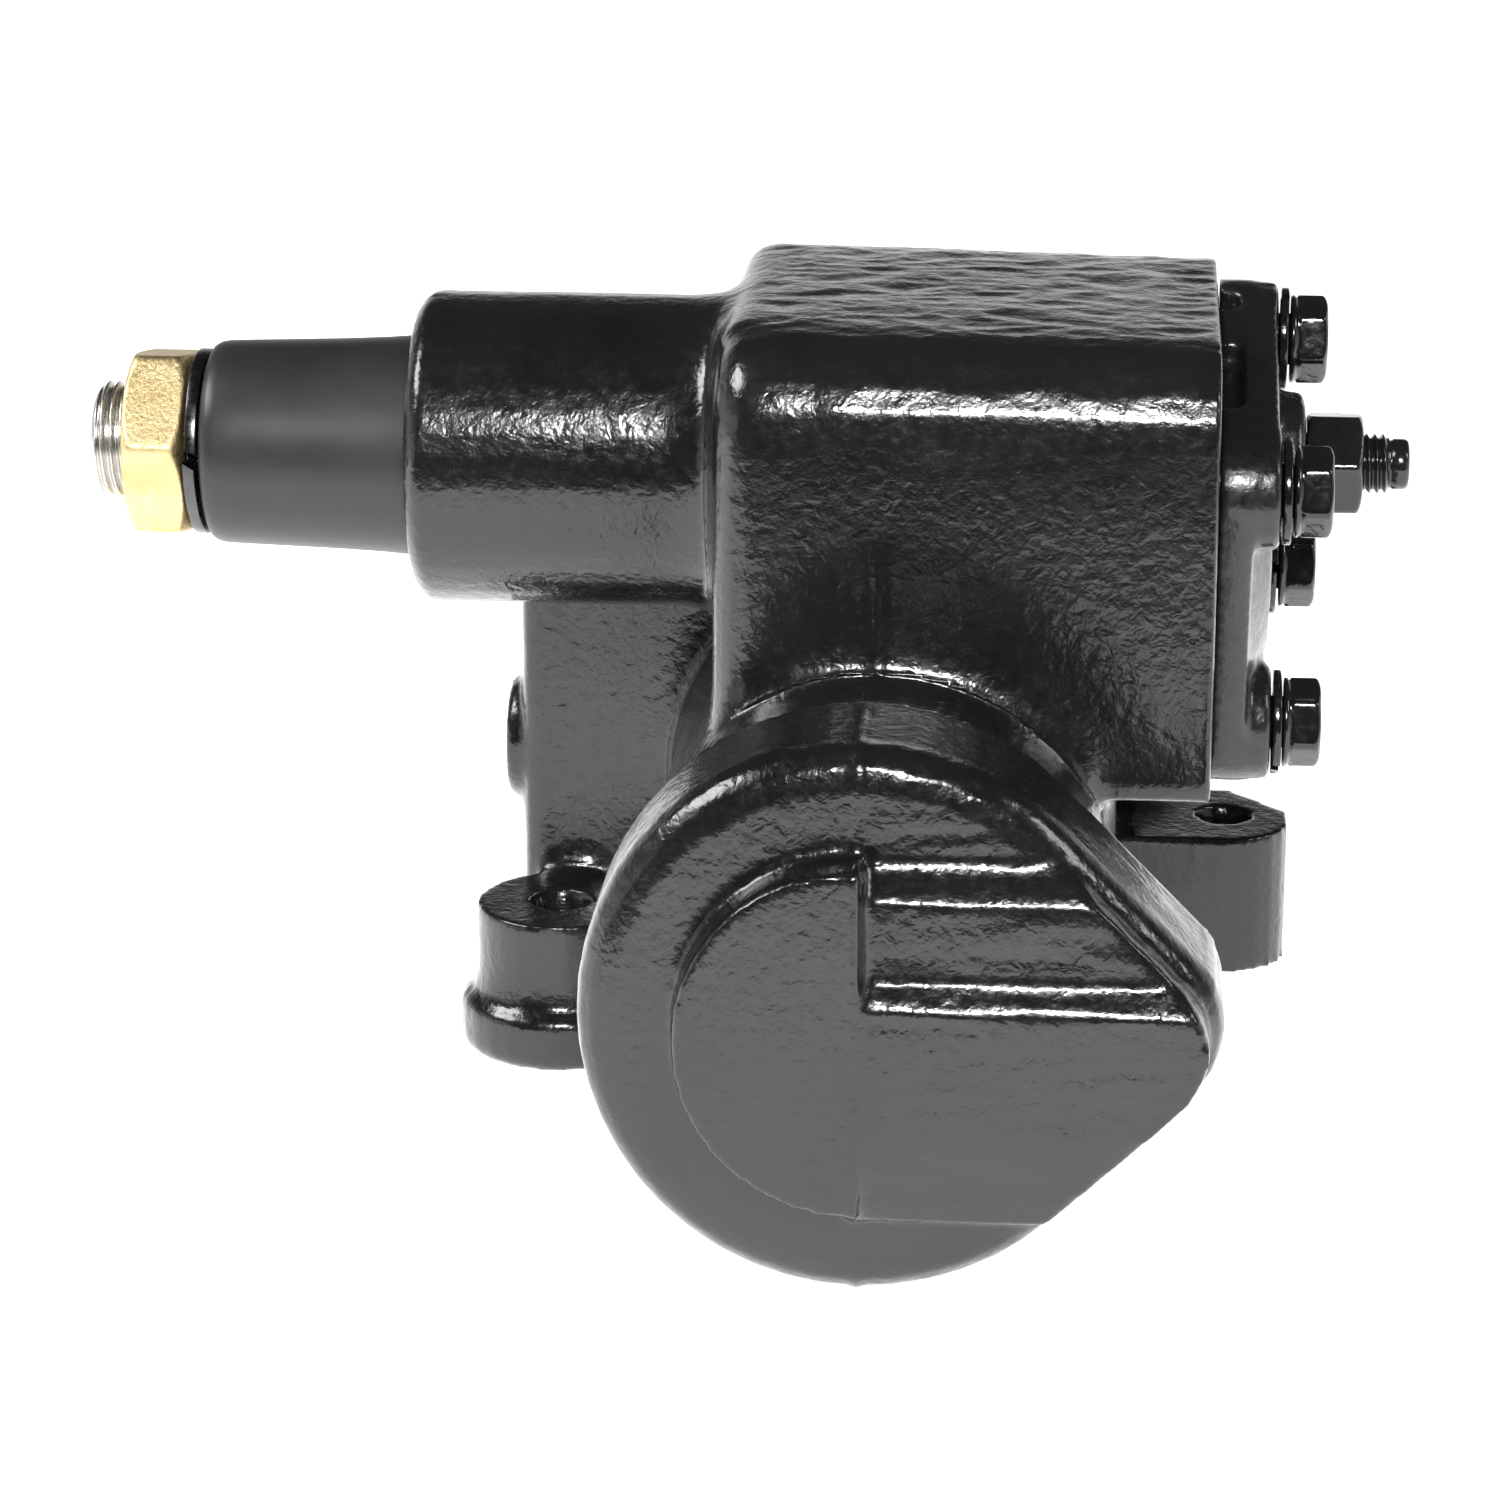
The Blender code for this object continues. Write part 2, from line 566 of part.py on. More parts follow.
def make_sector_shaft():
    journal, right = 16 * MM, 11 * MM
    profile = [(0, 57 * MM), (10.2 * MM, 57 * MM), (right, 56.2 * MM), (right, 19 * MM), (journal - 0.2 * MM, 18 * MM)]
    profile += [(journal - 0.2 * MM, -19 * MM), (journal, -20 * MM), (journal, -92 * MM), (15.6 * MM, -94 * MM)]
    profile += [(14.2 * MM, -125 * MM), (9.6 * MM, -126.2 * MM), (9.6 * MM, -127.6 * MM), (11.1 * MM, -128.5 * MM)]
    profile += [(11.1 * MM, SHAFT_END_X + 1.4 * MM), (9.7 * MM, SHAFT_END_X), (0, SHAFT_END_X)]
    shaft = turned("sector_shaft", profile, "X", (0, 0, 0), BARE_STEEL, steps=32)
    join(shaft, prism("sector_teeth", sector_outline(), -FACE_W / 2, FACE_W / 2, "X"))
    pocket = [(0, 60 * MM), (8.3 * MM, 60 * MM), (8.3 * MM, 46.8 * MM), (0, 46.8 * MM)]
    cut(shaft, turned("adjuster_pocket", pocket, "X", steps=24))
    ring("adjuster_retainer", 5.9 * MM, 8 * MM, 51.1 * MM, 54.5 * MM, "X", (0, 0, 0), BARE_STEEL, 24)

    sleeve = [(20.6 * MM, -87.3 * MM), (20.8 * MM, -90 * MM), (19.2 * MM, -125.6 * MM), (18 * MM, -128.4 * MM)]
    sleeve += [(16 * MM, -129.2 * MM), (11.6 * MM, -129.2 * MM), (11.6 * MM, -126.5 * MM), (14.7 * MM, -125.6 * MM)]
    sleeve += [(16.5 * MM, -92 * MM), (16.5 * MM, -87.3 * MM)]
    turned("spline_protector", sleeve, "X", (0, 0, 0), BLACK_RUBBER, steps=36, ring=True)
    washer = ring("lock_washer", 11.5 * MM, 17.6 * MM, -132.2 * MM, -129.5 * MM, "X", (0, 0, 0), BARE_STEEL, 36, 0.6 * MM)
    slit = block("washer_slit", (-140 * MM, -20 * MM, -1.2 * MM), (-125 * MM, -8 * MM, 1.2 * MM))
    cut(washer, slit)
    nut = hex_head("shaft_nut", 33.3 * MM, -144 * MM, -132.5 * MM, "X", (0, 0, 0), YELLOW_ZINC, turn=-9)
    cut(nut, rod("shaft_nut_hole", 11.5 * MM, -150 * MM, -120 * MM, "X", steps=32))


def make_tube_inside():
    at = (0, 0, 0)
    ring("outer_needle_bearing", 16.3 * MM, 19.7 * MM, -69 * MM, -44 * MM, "X", at, BARE_STEEL, 24)
    ring("inner_needle_bearing", 16.3 * MM, 19.7 * MM, -40 * MM, -22 * MM, "X", at, BARE_STEEL, 24)
    ring("sector_oil_seal", 16.3 * MM, 23.2 * MM, -76.6 * MM, -70 * MM, "X", at, BLACK_RUBBER, 28)
    ring("sector_dust_seal", 16.3 * MM, 23.2 * MM, -83.9 * MM, -77 * MM, "X", at, BLACK_RUBBER, 32)
    clip = ring("seal_snap_ring", 21.6 * MM, 24.3 * MM, -85.7 * MM, -84.5 * MM, "X", at, BARE_STEEL, 32)
    cut(clip, block("clip_gap", (-90 * MM, -4 * MM, 18 * MM), (-80 * MM, 4 * MM, 30 * MM)))


# --------------------------------------------------------------- rack piston
PISTON_LOW = -68 * MM
PISTON_HIGH = 54 * MM
PISTON_R = BORE_R - GAP
PISTON_BORE_R = 17.8 * MM


def rack_groove(k):
    """Space for one sector tooth, in the Y-Z plane about the worm axis."""
    slope = math.tan(PRESSURE)
    low, high, centre = -DEDENDUM, 12 * MM, k * RACK_PITCH
    low_half, high_half = [(RACK_PITCH / 2 + BACKLASH) / 2 + level * slope for level in (low, high)]
    return [
        (centre - low_half, RACK_H + low),
        (centre + low_half, RACK_H + low),
        (centre + high_half, RACK_H + high),
        (centre - high_half, RACK_H + high),
    ]


def make_rack_piston():
    piston = rod("rack_piston", PISTON_R, PISTON_LOW, PISTON_HIGH, "Y", WORM, CAST_IRON, steps=48, chamfer=1 * MM)
    flat_z = RACK_H + ADDENDUM
    flat = block("rack_flat", (-50 * MM, -48 * MM, flat_z), (50 * MM, 44 * MM, 60 * MM), WORM)
    cut(piston, flat)
    for k in (-1, 0, 1):
        cut(piston, prism(f"rack_groove_{k + 2}", rack_groove(k), -50 * MM, 50 * MM, "X", WORM))
    bore = [(0, 60 * MM), (PISTON_BORE_R, 60 * MM), (PISTON_BORE_R, -59 * MM), (22 * MM, -59 * MM)]
    bore += [(22 * MM, -75 * MM), (0, -75 * MM)]
    cut(piston, turned("piston_bore", bore, "Y", WORM, steps=24))
    cut(piston, ring("piston_ring_groove", 34.2 * MM, 45 * MM, -64 * MM, -60.4 * MM, "Y", WORM, steps=48))
    for k, y in enumerate(GUIDE_ENDS):
        cut(piston, rod(f"guide_hole_{k}", 4.6 * MM, -45 * MM, -10 * MM, "Z", (0, y, -CENTRES), steps=16))
    cut(piston, block("guide_pocket", (-9 * MM, 1.7 * MM, -45 * MM), (9 * MM, 46.3 * MM, -22.5 * MM), WORM))

    ring("piston_ring", 34.5 * MM, BORE_R - 0.1 * MM, -63.7 * MM, -60.7 * MM, "Y", WORM, BLACK_RUBBER, 40)
    plug = rod("piston_end_plug", 21.7 * MM, -67.5 * MM, -59.3 * MM, "Y", WORM, CAST_IRON, steps=24)
    cut(plug, block("plug_drive", (-5 * MM, -75 * MM, -5 * MM), (5 * MM, -64 * MM, 5 * MM), WORM))


GUIDE_ENDS = (13 * MM, 35 * MM)


def make_ball_circuit():
    """Steel balls in the worm's groove, and the bent tube that brings them back."""
    first = LEAD
    for k in range(BALL_COUNT):
        a = math.pi + k * BALL_STEP
        y = first + LEAD * (k * BALL_STEP) / (2 * math.pi)
        mesh = bpy.data.meshes.new(f"ball_{k + 1:02d}")
        solid = bmesh.new()
        bmesh.ops.create_uvsphere(solid, u_segments=8, v_segments=5, radius=BALL_R)
        solid.to_mesh(mesh)
        solid.free()
        mesh.shade_smooth()
        at = (BALL_PITCH_R * math.sin(a), y, BALL_PITCH_R * math.cos(a) - CENTRES)
        add_object(mesh.name, mesh, Matrix.Translation(at), BARE_STEEL)

    near, far = GUIDE_ENDS
    deep, bend = -27.7 * MM, 4.6 * MM
    route = [(near, -19.5 * MM)]
    route += arc((near + bend, deep + bend), bend, 180, 270, 5)
    route += arc((far - bend, deep + bend), bend, 270, 360, 5)
    route += [(far, -19.5 * MM)]
    guide_tube("ball_return_guide", [(0, y, z) for y, z in route], 4.1 * MM)
    clamp_low, clamp_high = -33.3 * MM, -32.1 * MM
    clamp = block("guide_clamp", (-8.4 * MM, 2.5 * MM, clamp_low), (8.4 * MM, 45.5 * MM, clamp_high), WORM, BARE_STEEL)
    for k, y in enumerate((6 * MM, 42 * MM), 1):
        spot = (0, y, -CENTRES)
        cut(clamp, rod(f"clamp_hole_{k}", 2.4 * MM, clamp_low - 5 * MM, clamp_high + 5 * MM, "Z", spot, steps=12))
        screw = [(0, -23 * MM), (2.1 * MM, -23 * MM), (2.1 * MM, clamp_low - GAP), (3.6 * MM, clamp_low - GAP)]
        screw += [(3.6 * MM, clamp_low - 2.2 * MM), (0, clamp_low - 2.2 * MM)]
        turned(f"clamp_screw_{k}", screw, "Z", spot, BARE_STEEL, steps=14)


def guide_tube(name, route, radius):
    curve = bpy.data.curves.new(name, "CURVE")
    curve.dimensions = "3D"
    curve.bevel_depth = radius
    curve.bevel_resolution = 2
    curve.use_fill_caps = True
    spline = curve.splines.new("POLY")
    spline.points.add(len(route) - 1)
    for point, co in zip(spline.points, route):
        point.co = (*co, 1)
    curve.materials.append(BARE_STEEL)
    made = bpy.data.objects.new(name, curve)
    made.parent = ORIGIN
    made.location = WORM
    PARTS.objects.link(made)
    return made


# ------------------------------------------------------------ worm and valve
def worm_section():
    """A circle at the root of the thread with one wide lobe out to its crest."""
    outline = arc((0, 0), WORM_TIP_R, 25, 155, 4)
    return outline + arc((0, 0), WORM_ROOT_R, 195, 345, 4)


def make_worm():
    """The section is turned once for each lead along the axis, which winds the lobe into a thread."""
    low, high, per_turn = -25 * MM, 74 * MM, 12
    outline = worm_section()
    count = round((high - low) / LEAD * per_turn)
    solid = bmesh.new()
    rings = []
    for k in range(count + 1):
        y = low + k * LEAD / per_turn
        turn = Matrix.Rotation(2 * math.pi * y / LEAD, 4, "Y")
        rings.append([solid.verts.new(turn @ Matrix.Translation((u, y, v)).translation) for u, v in outline])
    for below, above in zip(rings, rings[1:]):
        for i in range(len(outline)):
            j = (i + 1) % len(outline)
            solid.faces.new((below[i], below[j], above[j], above[i]))
    solid.faces.new(rings[0])
    solid.faces.new(rings[-1])
    bmesh.ops.recalc_face_normals(solid, faces=solid.faces)
    mesh = bpy.data.meshes.new("worm_shaft")
    solid.to_mesh(mesh)
    solid.free()
    worm = add_object(mesh.name, mesh, Matrix.Translation(WORM), BARE_STEEL)
    neck = [(0, 105 * MM), (21.5 * MM, 105 * MM), (21.5 * MM, 100.2 * MM), (11.5 * MM, 100.2 * MM)]
    neck += [(11.5 * MM, 72 * MM), (0, 72 * MM)]
    join(worm, turned("worm_neck", neck, "Y", WORM, steps=32))
    return cut(worm, rod("torsion_seat", 3.7 * MM, 86 * MM, 110 * MM, "Y", WORM, steps=16))


def make_valve():
    ring("lower_thrust_bearing", 12 * MM, 22 * MM, 97.3 * MM, 99.9 * MM, "Y", WORM, BARE_STEEL, 24)
    sleeve = ring("valve_body", 10.6 * MM, 24.6 * MM, 105.3 * MM, 135.8 * MM, "Y", WORM, BARE_STEEL, 28)
    for k, y in enumerate((112, 125), 1):
        groove = ring(f"valve_groove_{k}", 22.4 * MM, 27 * MM, y * MM, (y + 4) * MM, "Y", WORM, steps=28)
        cut(sleeve, groove)
    ring("upper_thrust_bearing", 12 * MM, 22 * MM, 136.1 * MM, 139.4 * MM, "Y", WORM, BARE_STEEL, 24)

    plug = [(0, 158 * MM), (29 * MM, 158 * MM), (30 * MM, 157 * MM), (30 * MM, 147.9 * MM), (32.6 * MM, 147 * MM)]
    plug += [(32.6 * MM, 140 * MM), (0, 140 * MM)]
    body = turned("bearing_adjuster_plug", plug, "Y", WORM, BLACK_STEEL, steps=28)
    hole = [(0, 165 * MM), (16.2 * MM, 165 * MM), (16.2 * MM, 149 * MM), (12.4 * MM, 149 * MM)]
    hole += [(12.4 * MM, 130 * MM), (0, 130 * MM)]
    cut(body, turned("plug_hole", hole, "Y", WORM, steps=24))
    for k, angle in enumerate((35, 145, 215, 325)):
        a = math.radians(angle)
        spot = (23 * MM * math.cos(a), 0, 23 * MM * math.sin(a) - CENTRES)
        cut(body, rod(f"spanner_hole_{k}", 2.6 * MM, 152 * MM, 165 * MM, "Y", spot, steps=12))
    lock = ring("plug_lock_ring", 30.4 * MM, 38 * MM, 148.4 * MM, 154.5 * MM, "Y", WORM, BLACK_STEEL, 28, 0.8 * MM)
    for k in range(4):
        notch = block(f"ring_notch_{k}", (35.5 * MM, 146 * MM, -3 * MM), (42 * MM, 156 * MM, 3 * MM))
        notch.matrix_local = Matrix.Translation(WORM) @ Matrix.Rotation(math.pi / 4 + k * math.pi / 2, 4, "Y")
        cut(lock, notch)
    ring("input_needle_bearing", 10.3 * MM, 12.1 * MM, 141 * MM, 148.6 * MM, "Y", WORM, BARE_STEEL, 20)
    ring("input_oil_seal", 10.3 * MM, 15.9 * MM, 149.4 * MM, 153.4 * MM, "Y", WORM, BLACK_RUBBER, 20)
    ring("input_dust_seal", 10.3 * MM, 15.9 * MM, 153.7 * MM, 157.4 * MM, "Y", WORM, BLACK_RUBBER, 24)

    # Splined input end, with a flat for the clamp bolt of the coupling
    stub = [(0, INPUT_END_Y), (8.4 * MM, INPUT_END_Y), (9.4 * MM, INPUT_END_Y - 1 * MM), (9.4 * MM, 163 * MM), (10 * MM, 160 * MM)]
    stub += [(10 * MM, 106 * MM), (0, 106 * MM)]
    shaft = turned("input_shaft", stub, "Y", WORM, BARE_STEEL, steps=32)
    cut(shaft, rod("torsion_bore", 3.7 * MM, 100 * MM, 186 * MM, "Y", WORM, steps=16))
    cut(shaft, block("input_flat", (-12 * MM, 174 * MM, 8.2 * MM), (12 * MM, 184 * MM, 15 * MM), WORM))
    rod("torsion_bar", 3.3 * MM, 87 * MM, 185 * MM, "Y", WORM, BARE_STEEL, steps=14)


def make_flange_bolts():
    ring("valve_housing_o_ring", 40.6 * MM, 43 * MM, REAR_Y + 0.02 * MM, REAR_Y + 0.28 * MM, "Y", WORM, BLACK_RUBBER, 32)
    low = REAR_Y + GAP + 11 * MM + GAP
    for k, (x, z) in enumerate(flange_bolt_places(), 1):
        at = (x, 0, z - CENTRES)
        bolt = hex_head(f"flange_bolt_{k}", 13 * MM, low, low + 6.5 * MM, "Y", at, BLACK_STEEL)
        join(bolt, rod(f"flange_shank_{k}", 4.3 * MM, REAR_Y - 10 * MM, low + 1 * MM, "Y", at, steps=14))


make_housing()
make_side_cover()
make_cover_bolts()
make_adjuster()
make_cover_inside()
make_sector_shaft()
make_tube_inside()
make_rack_piston()
make_ball_circuit()
make_worm()
make_valve_housing()
make_valve()
make_flange_bolts()
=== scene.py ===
"""Looks of the recirculating-ball steering gearbox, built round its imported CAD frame.

The castings are remeshed from their CAD nodes so that their corners get cast fillets, the
threaded and hexagonal hardware is turned on fine grids, and every piece gets a procedural
material.
"""

import json
import math

import bmesh
import bpy
import numpy as np
from mathutils import Matrix, Vector, noise


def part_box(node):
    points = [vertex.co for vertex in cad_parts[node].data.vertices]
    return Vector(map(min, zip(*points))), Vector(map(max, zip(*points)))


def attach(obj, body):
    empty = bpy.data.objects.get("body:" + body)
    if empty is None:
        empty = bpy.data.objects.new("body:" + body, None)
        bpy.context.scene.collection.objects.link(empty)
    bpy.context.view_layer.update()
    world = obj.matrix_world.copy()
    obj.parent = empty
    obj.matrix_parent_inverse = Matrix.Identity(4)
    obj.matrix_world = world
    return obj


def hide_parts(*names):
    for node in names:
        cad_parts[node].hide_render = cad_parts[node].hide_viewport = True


MM = 0.001

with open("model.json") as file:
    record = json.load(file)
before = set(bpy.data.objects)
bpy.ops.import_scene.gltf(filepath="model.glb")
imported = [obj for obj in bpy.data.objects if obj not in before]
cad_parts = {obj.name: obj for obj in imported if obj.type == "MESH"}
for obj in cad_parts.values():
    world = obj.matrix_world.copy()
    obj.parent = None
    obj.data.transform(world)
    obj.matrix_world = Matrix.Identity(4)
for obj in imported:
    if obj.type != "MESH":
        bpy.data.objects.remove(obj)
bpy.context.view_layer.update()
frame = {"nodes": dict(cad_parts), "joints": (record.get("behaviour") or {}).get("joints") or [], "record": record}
joints = {joint["name"]: joint for joint in frame["joints"]}
SECTOR = Vector(joints["sector_swing"]["pos_m"])  # on the sector shaft's axis, over the worm
WORM = Vector(joints["worm_spin"]["pos_m"])  # on the worm's axis, under SECTOR

# Camera, as fitted to the photograph
CAMERA_UP = math.radians(18)
CAMERA_TURN = math.radians(4.5)
CAMERA_AWAY = 0.9
CAMERA_SHIFT = (27.1 * MM, 55.6 * MM)
LENS_MM = 114.9

# Castings
VOXEL = 1.0 * MM
FILLET_REACH = 8.0 * MM  # how far a cast fillet spreads from a hollow corner
TIGHT_REACH = 1.2 * MM  # the same on the closed end, whose steps are crisper
EDGE_REACH = 1.1 * MM  # how far an outer edge is rounded
EDGE_SINK = 0.22 * MM  # the most that smoothing lowers a face
SOFT_SINK = 1.1 * MM  # what that gains on the rounder edges
FILLET_RISE = 5 * MM  # and the most that it fills
BLUR_REACH = 1.6 * MM  # how far the heights of the fillets are evened out
PULL = 0.6  # share of the way to its neighbours' mean that a value moves in one smoothing step


# ------------------------------------------------------------------ materials
class Shader:
    """A node material built from short calls. Positions are the object's own, in metres."""

    def __init__(self, name):
        self.material = bpy.data.materials.new(name)
        self.material.use_nodes = True
        self.tree = self.material.node_tree
        self.tree.nodes.clear()
        self.bsdf = self.tree.nodes.new("ShaderNodeBsdfPrincipled")
        out = self.tree.nodes.new("ShaderNodeOutputMaterial")
        self.tree.links.new(self.bsdf.outputs[0], out.inputs[0])
        self.where = self.tree.nodes.new("ShaderNodeTexCoord").outputs["Object"]

    def put(self, **values):
        for name, value in values.items():
            self.bsdf.inputs[name.replace("_", " ")].default_value = value

    def link(self, source, name):
        self.tree.links.new(source, self.bsdf.inputs[name])

    def stretched(self, scale, turn=(0, 0, 0)):
        node = self.tree.nodes.new("ShaderNodeMapping")
        node.inputs["Scale"].default_value = scale
        node.inputs["Rotation"].default_value = turn
        self.tree.links.new(self.where, node.inputs["Vector"])
        return node.outputs[0]

    def noise(self, scale, detail=2.0, roughness=0.5, distortion=0.0, vector=None):
        node = self.tree.nodes.new("ShaderNodeTexNoise")
        settings = {"Scale": scale, "Detail": detail, "Roughness": roughness}
        settings["Distortion"] = distortion
        for name, value in settings.items():
            node.inputs[name].default_value = value
        self.tree.links.new(vector or self.where, node.inputs["Vector"])
        return node.outputs["Fac"]

    def ramp(self, value, stops):
        node = self.tree.nodes.new("ShaderNodeValToRGB")
        elements = node.color_ramp.elements
        while len(elements) < len(stops):
            elements.new(0.5)
        for element, (at, colour) in zip(elements, stops):
            element.position = at
            element.color = (*colour, 1)
        self.tree.links.new(value, node.inputs["Fac"])
        return node.outputs["Color"]

    def span(self, value, low, high, to_low, to_high):
        node = self.tree.nodes.new("ShaderNodeMapRange")
        settings = {"From Min": low, "From Max": high, "To Min": to_low, "To Max": to_high}
        for name, number in settings.items():
            node.inputs[name].default_value = number
        self.tree.links.new(value, node.inputs["Value"])
        return node.outputs[0]

    def bump(self, height, depth, before=None):
        node = self.tree.nodes.new("ShaderNodeBump")
        node.inputs["Strength"].default_value = 1.0
        node.inputs["Distance"].default_value = depth
        self.tree.links.new(height, node.inputs["Height"])
        if before is not None:
            self.tree.links.new(before, node.inputs["Normal"])
        return node.outputs[0]


def painted(name, peel, grain, low_rough, high_rough):
    """Gloss black enamel. peel and grain are the depths of its waves and of the casting's sand."""
    s = Shader(name)
    s.put(Specular_IOR_Level=0.5, IOR=1.5, Coat_Weight=0.35, Coat_Roughness=0.06)
    patches = s.noise(28, 3, 0.6)
    blacks = [(0.3, (0.0042, 0.0042, 0.0046)), (0.7, (0.009, 0.0091, 0.0096))]
    s.link(s.ramp(patches, blacks), "Base Color")
    s.link(s.span(s.noise(420, 3, 0.65), 0.3, 0.7, low_rough, high_rough), "Roughness")
    waves = s.bump(s.noise(400, 2, 0.5, 0.4), peel)
    fine = s.bump(s.noise(950, 3, 0.65), grain, waves)
    s.link(fine, "Normal")
    s.link(waves, "Coat Normal")
    return s.material


def metal(name, colours, low_rough, high_rough, marks, depth, turned=False):
    """Bare or plated metal. Turned metal has fine rings round the X axis."""
    s = Shader(name)
    s.put(Metallic=1.0)
    tone = s.noise(90, 4, 0.6)
    s.link(s.ramp(tone, [(0.3, colours[0]), (0.7, colours[1])]), "Base Color")
    vector = s.stretched((6.0, 0.35, 0.35)) if turned else None
    texture = s.noise(marks, 3, 0.6, 0.0, vector)
    s.link(s.span(texture, 0.3, 0.75, low_rough, high_rough), "Roughness")
    s.link(s.bump(texture, depth), "Normal")
    return s.material


def zinc(name):
    """Yellow passivated zinc with a sparkling grain."""
    s = Shader(name)
    s.put(Metallic=1.0)
    cloud = s.noise(60, 4, 0.65)
    golds = [(0.28, (0.56, 0.42, 0.19)), (0.5, (0.72, 0.56, 0.29)), (0.72, (0.82, 0.70, 0.42))]
    s.link(s.ramp(cloud, golds), "Base Color")
    grain = s.noise(1300, 3, 0.7)
    s.link(s.span(grain, 0.3, 0.7, 0.30, 0.52), "Roughness")
    s.link(s.bump(grain, 0.16 * MM), "Normal")
    return s.material


def rubbery(name, base, low_rough, high_rough, depth):
    """Rubber or satin plastic, smeared between the two colours of base."""
    s = Shader(name)
    smear = s.noise(22, 4, 0.7, 0.4)
    s.link(s.ramp(smear, [(0.3, base[0]), (0.7, base[1])]), "Base Color")
    s.link(s.span(smear, 0.3, 0.75, low_rough, high_rough), "Roughness")
    s.link(s.bump(s.noise(900, 2, 0.5), depth), "Normal")
    return s.material


PAINT = painted("cast_enamel", 0.17 * MM, 0.085 * MM, 0.12, 0.30)
COVER_PAINT = painted("cover_enamel", 0.12 * MM, 0.07 * MM, 0.20, 0.40)
STEEL_PAINT = painted("hardware_enamel", 0.10 * MM, 0.03 * MM, 0.10, 0.22)
STEEL_GREYS = ((0.46, 0.45, 0.44), (0.66, 0.65, 0.63))
GROUND_GREYS = ((0.42, 0.42, 0.42), (0.60, 0.60, 0.59))
DARK_GREYS = ((0.06, 0.06, 0.062), (0.13, 0.13, 0.13))
IRON_GREYS = ((0.12, 0.12, 0.12), (0.22, 0.22, 0.22))
BRONZES = ((0.45, 0.28, 0.13), (0.62, 0.42, 0.22))
SLEEVE_BLACKS = ((0.012, 0.012, 0.013), (0.024, 0.024, 0.025))
RUBBER_BLACKS = ((0.006, 0.006, 0.006), (0.013, 0.013, 0.013))
STEEL = metal("bare_steel_turned", STEEL_GREYS, 0.18, 0.36, 900, 0.02 * MM, True)
GROUND = metal("bare_steel_ground", GROUND_GREYS, 0.2, 0.4, 1400, 0.01 * MM)
DARK_STEEL = metal("dark_spring_steel", DARK_GREYS, 0.2, 0.36, 900, 0.015 * MM)
IRON = metal("machined_iron", IRON_GREYS, 0.38, 0.6, 1200, 0.03 * MM)
BRONZE = metal("bush_bronze", BRONZES, 0.28, 0.45, 1100, 0.02 * MM)
ZINC = zinc("yellow_zinc")
SLEEVE = rubbery("satin_sleeve", SLEEVE_BLACKS, 0.33, 0.45, 0.006 * MM)
RUBBER = rubbery("seal_rubber", RUBBER_BLACKS, 0.5, 0.68, 0.02 * MM)

BY_SLOT = {
    "black_paint": PAINT,
    "black_steel": STEEL_PAINT,
    "bare_steel": GROUND,
    "yellow_zinc": ZINC,
    "black_sleeve": SLEEVE,
    "black_rubber": RUBBER,
    "cast_iron": IRON,
    "bronze": BRONZE,
}


# --------------------------------------------------------------------- pieces
def new_piece(name, mesh, material, body, replaced=()):
    obj = bpy.data.objects.new(name, mesh)
    bpy.context.scene.collection.objects.link(obj)
    mesh.materials.clear()
    mesh.materials.append(material)
    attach(obj, body)
    if replaced:
        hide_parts(*replaced)
    return obj


def welded_copy(node, name):
    """A node's mesh as one connected surface."""
    mesh = frame["nodes"][node].data.copy()
    mesh.name = name
    work = bmesh.new()
    work.from_mesh(mesh)
    bmesh.ops.remove_doubles(work, verts=work.verts, dist=1e-6)
    work.to_mesh(mesh)
    work.free()
    return mesh


def remeshed(node, name):
    """A node's surface as an even grid of small faces."""
    mesh = welded_copy(node, name)
    obj = bpy.data.objects.new(name + "_voxels", mesh)
    bpy.context.scene.collection.objects.link(obj)
    modifier = obj.modifiers.new("voxels", "REMESH")
    modifier.mode = "VOXEL"
    modifier.voxel_size = VOXEL
    graph = bpy.context.evaluated_depsgraph_get()
    graph.update()
    fine = bpy.data.meshes.new_from_object(obj.evaluated_get(graph))
    bpy.data.objects.remove(obj)
    bpy.data.meshes.remove(mesh)
    fine.name = name
    return fine


def points_of(mesh):
    flat = np.empty(len(mesh.vertices) * 3, np.float32)
    mesh.vertices.foreach_get("co", flat)
    return flat.reshape(-1, 3).astype(float)


def edges_of(mesh):
    flat = np.empty(len(mesh.edges) * 2, np.int32)
    mesh.edges.foreach_get("vertices", flat)
    return flat.reshape(-1, 2)


def spread(values, edges, degree, times):
    """Values at the vertices, each moved towards its neighbours' mean again and again."""
    values = values.copy()
    a, b = edges[:, 0], edges[:, 1]
    count = len(values)
    for _ in range(times):
        for column in range(values.shape[1]):
            line = values[:, column]
            total = np.bincount(a, line[b], count) + np.bincount(b, line[a], count)
            values[:, column] = line + PULL * (total / degree - line)
    return values


def rounds(reach):
    """How many smoothing steps spread a value that far on this grid."""
    return max(1, round((reach / VOXEL) ** 2 / PULL))


def normals_of(mesh, points):
    mesh.vertices.foreach_set("co", points.astype(np.float32).ravel())
    mesh.update()
    flat = np.empty(len(mesh.vertices) * 3, np.float32)
    mesh.vertex_normals.foreach_get("vector", flat)
    return flat.reshape(-1, 3).astype(float)


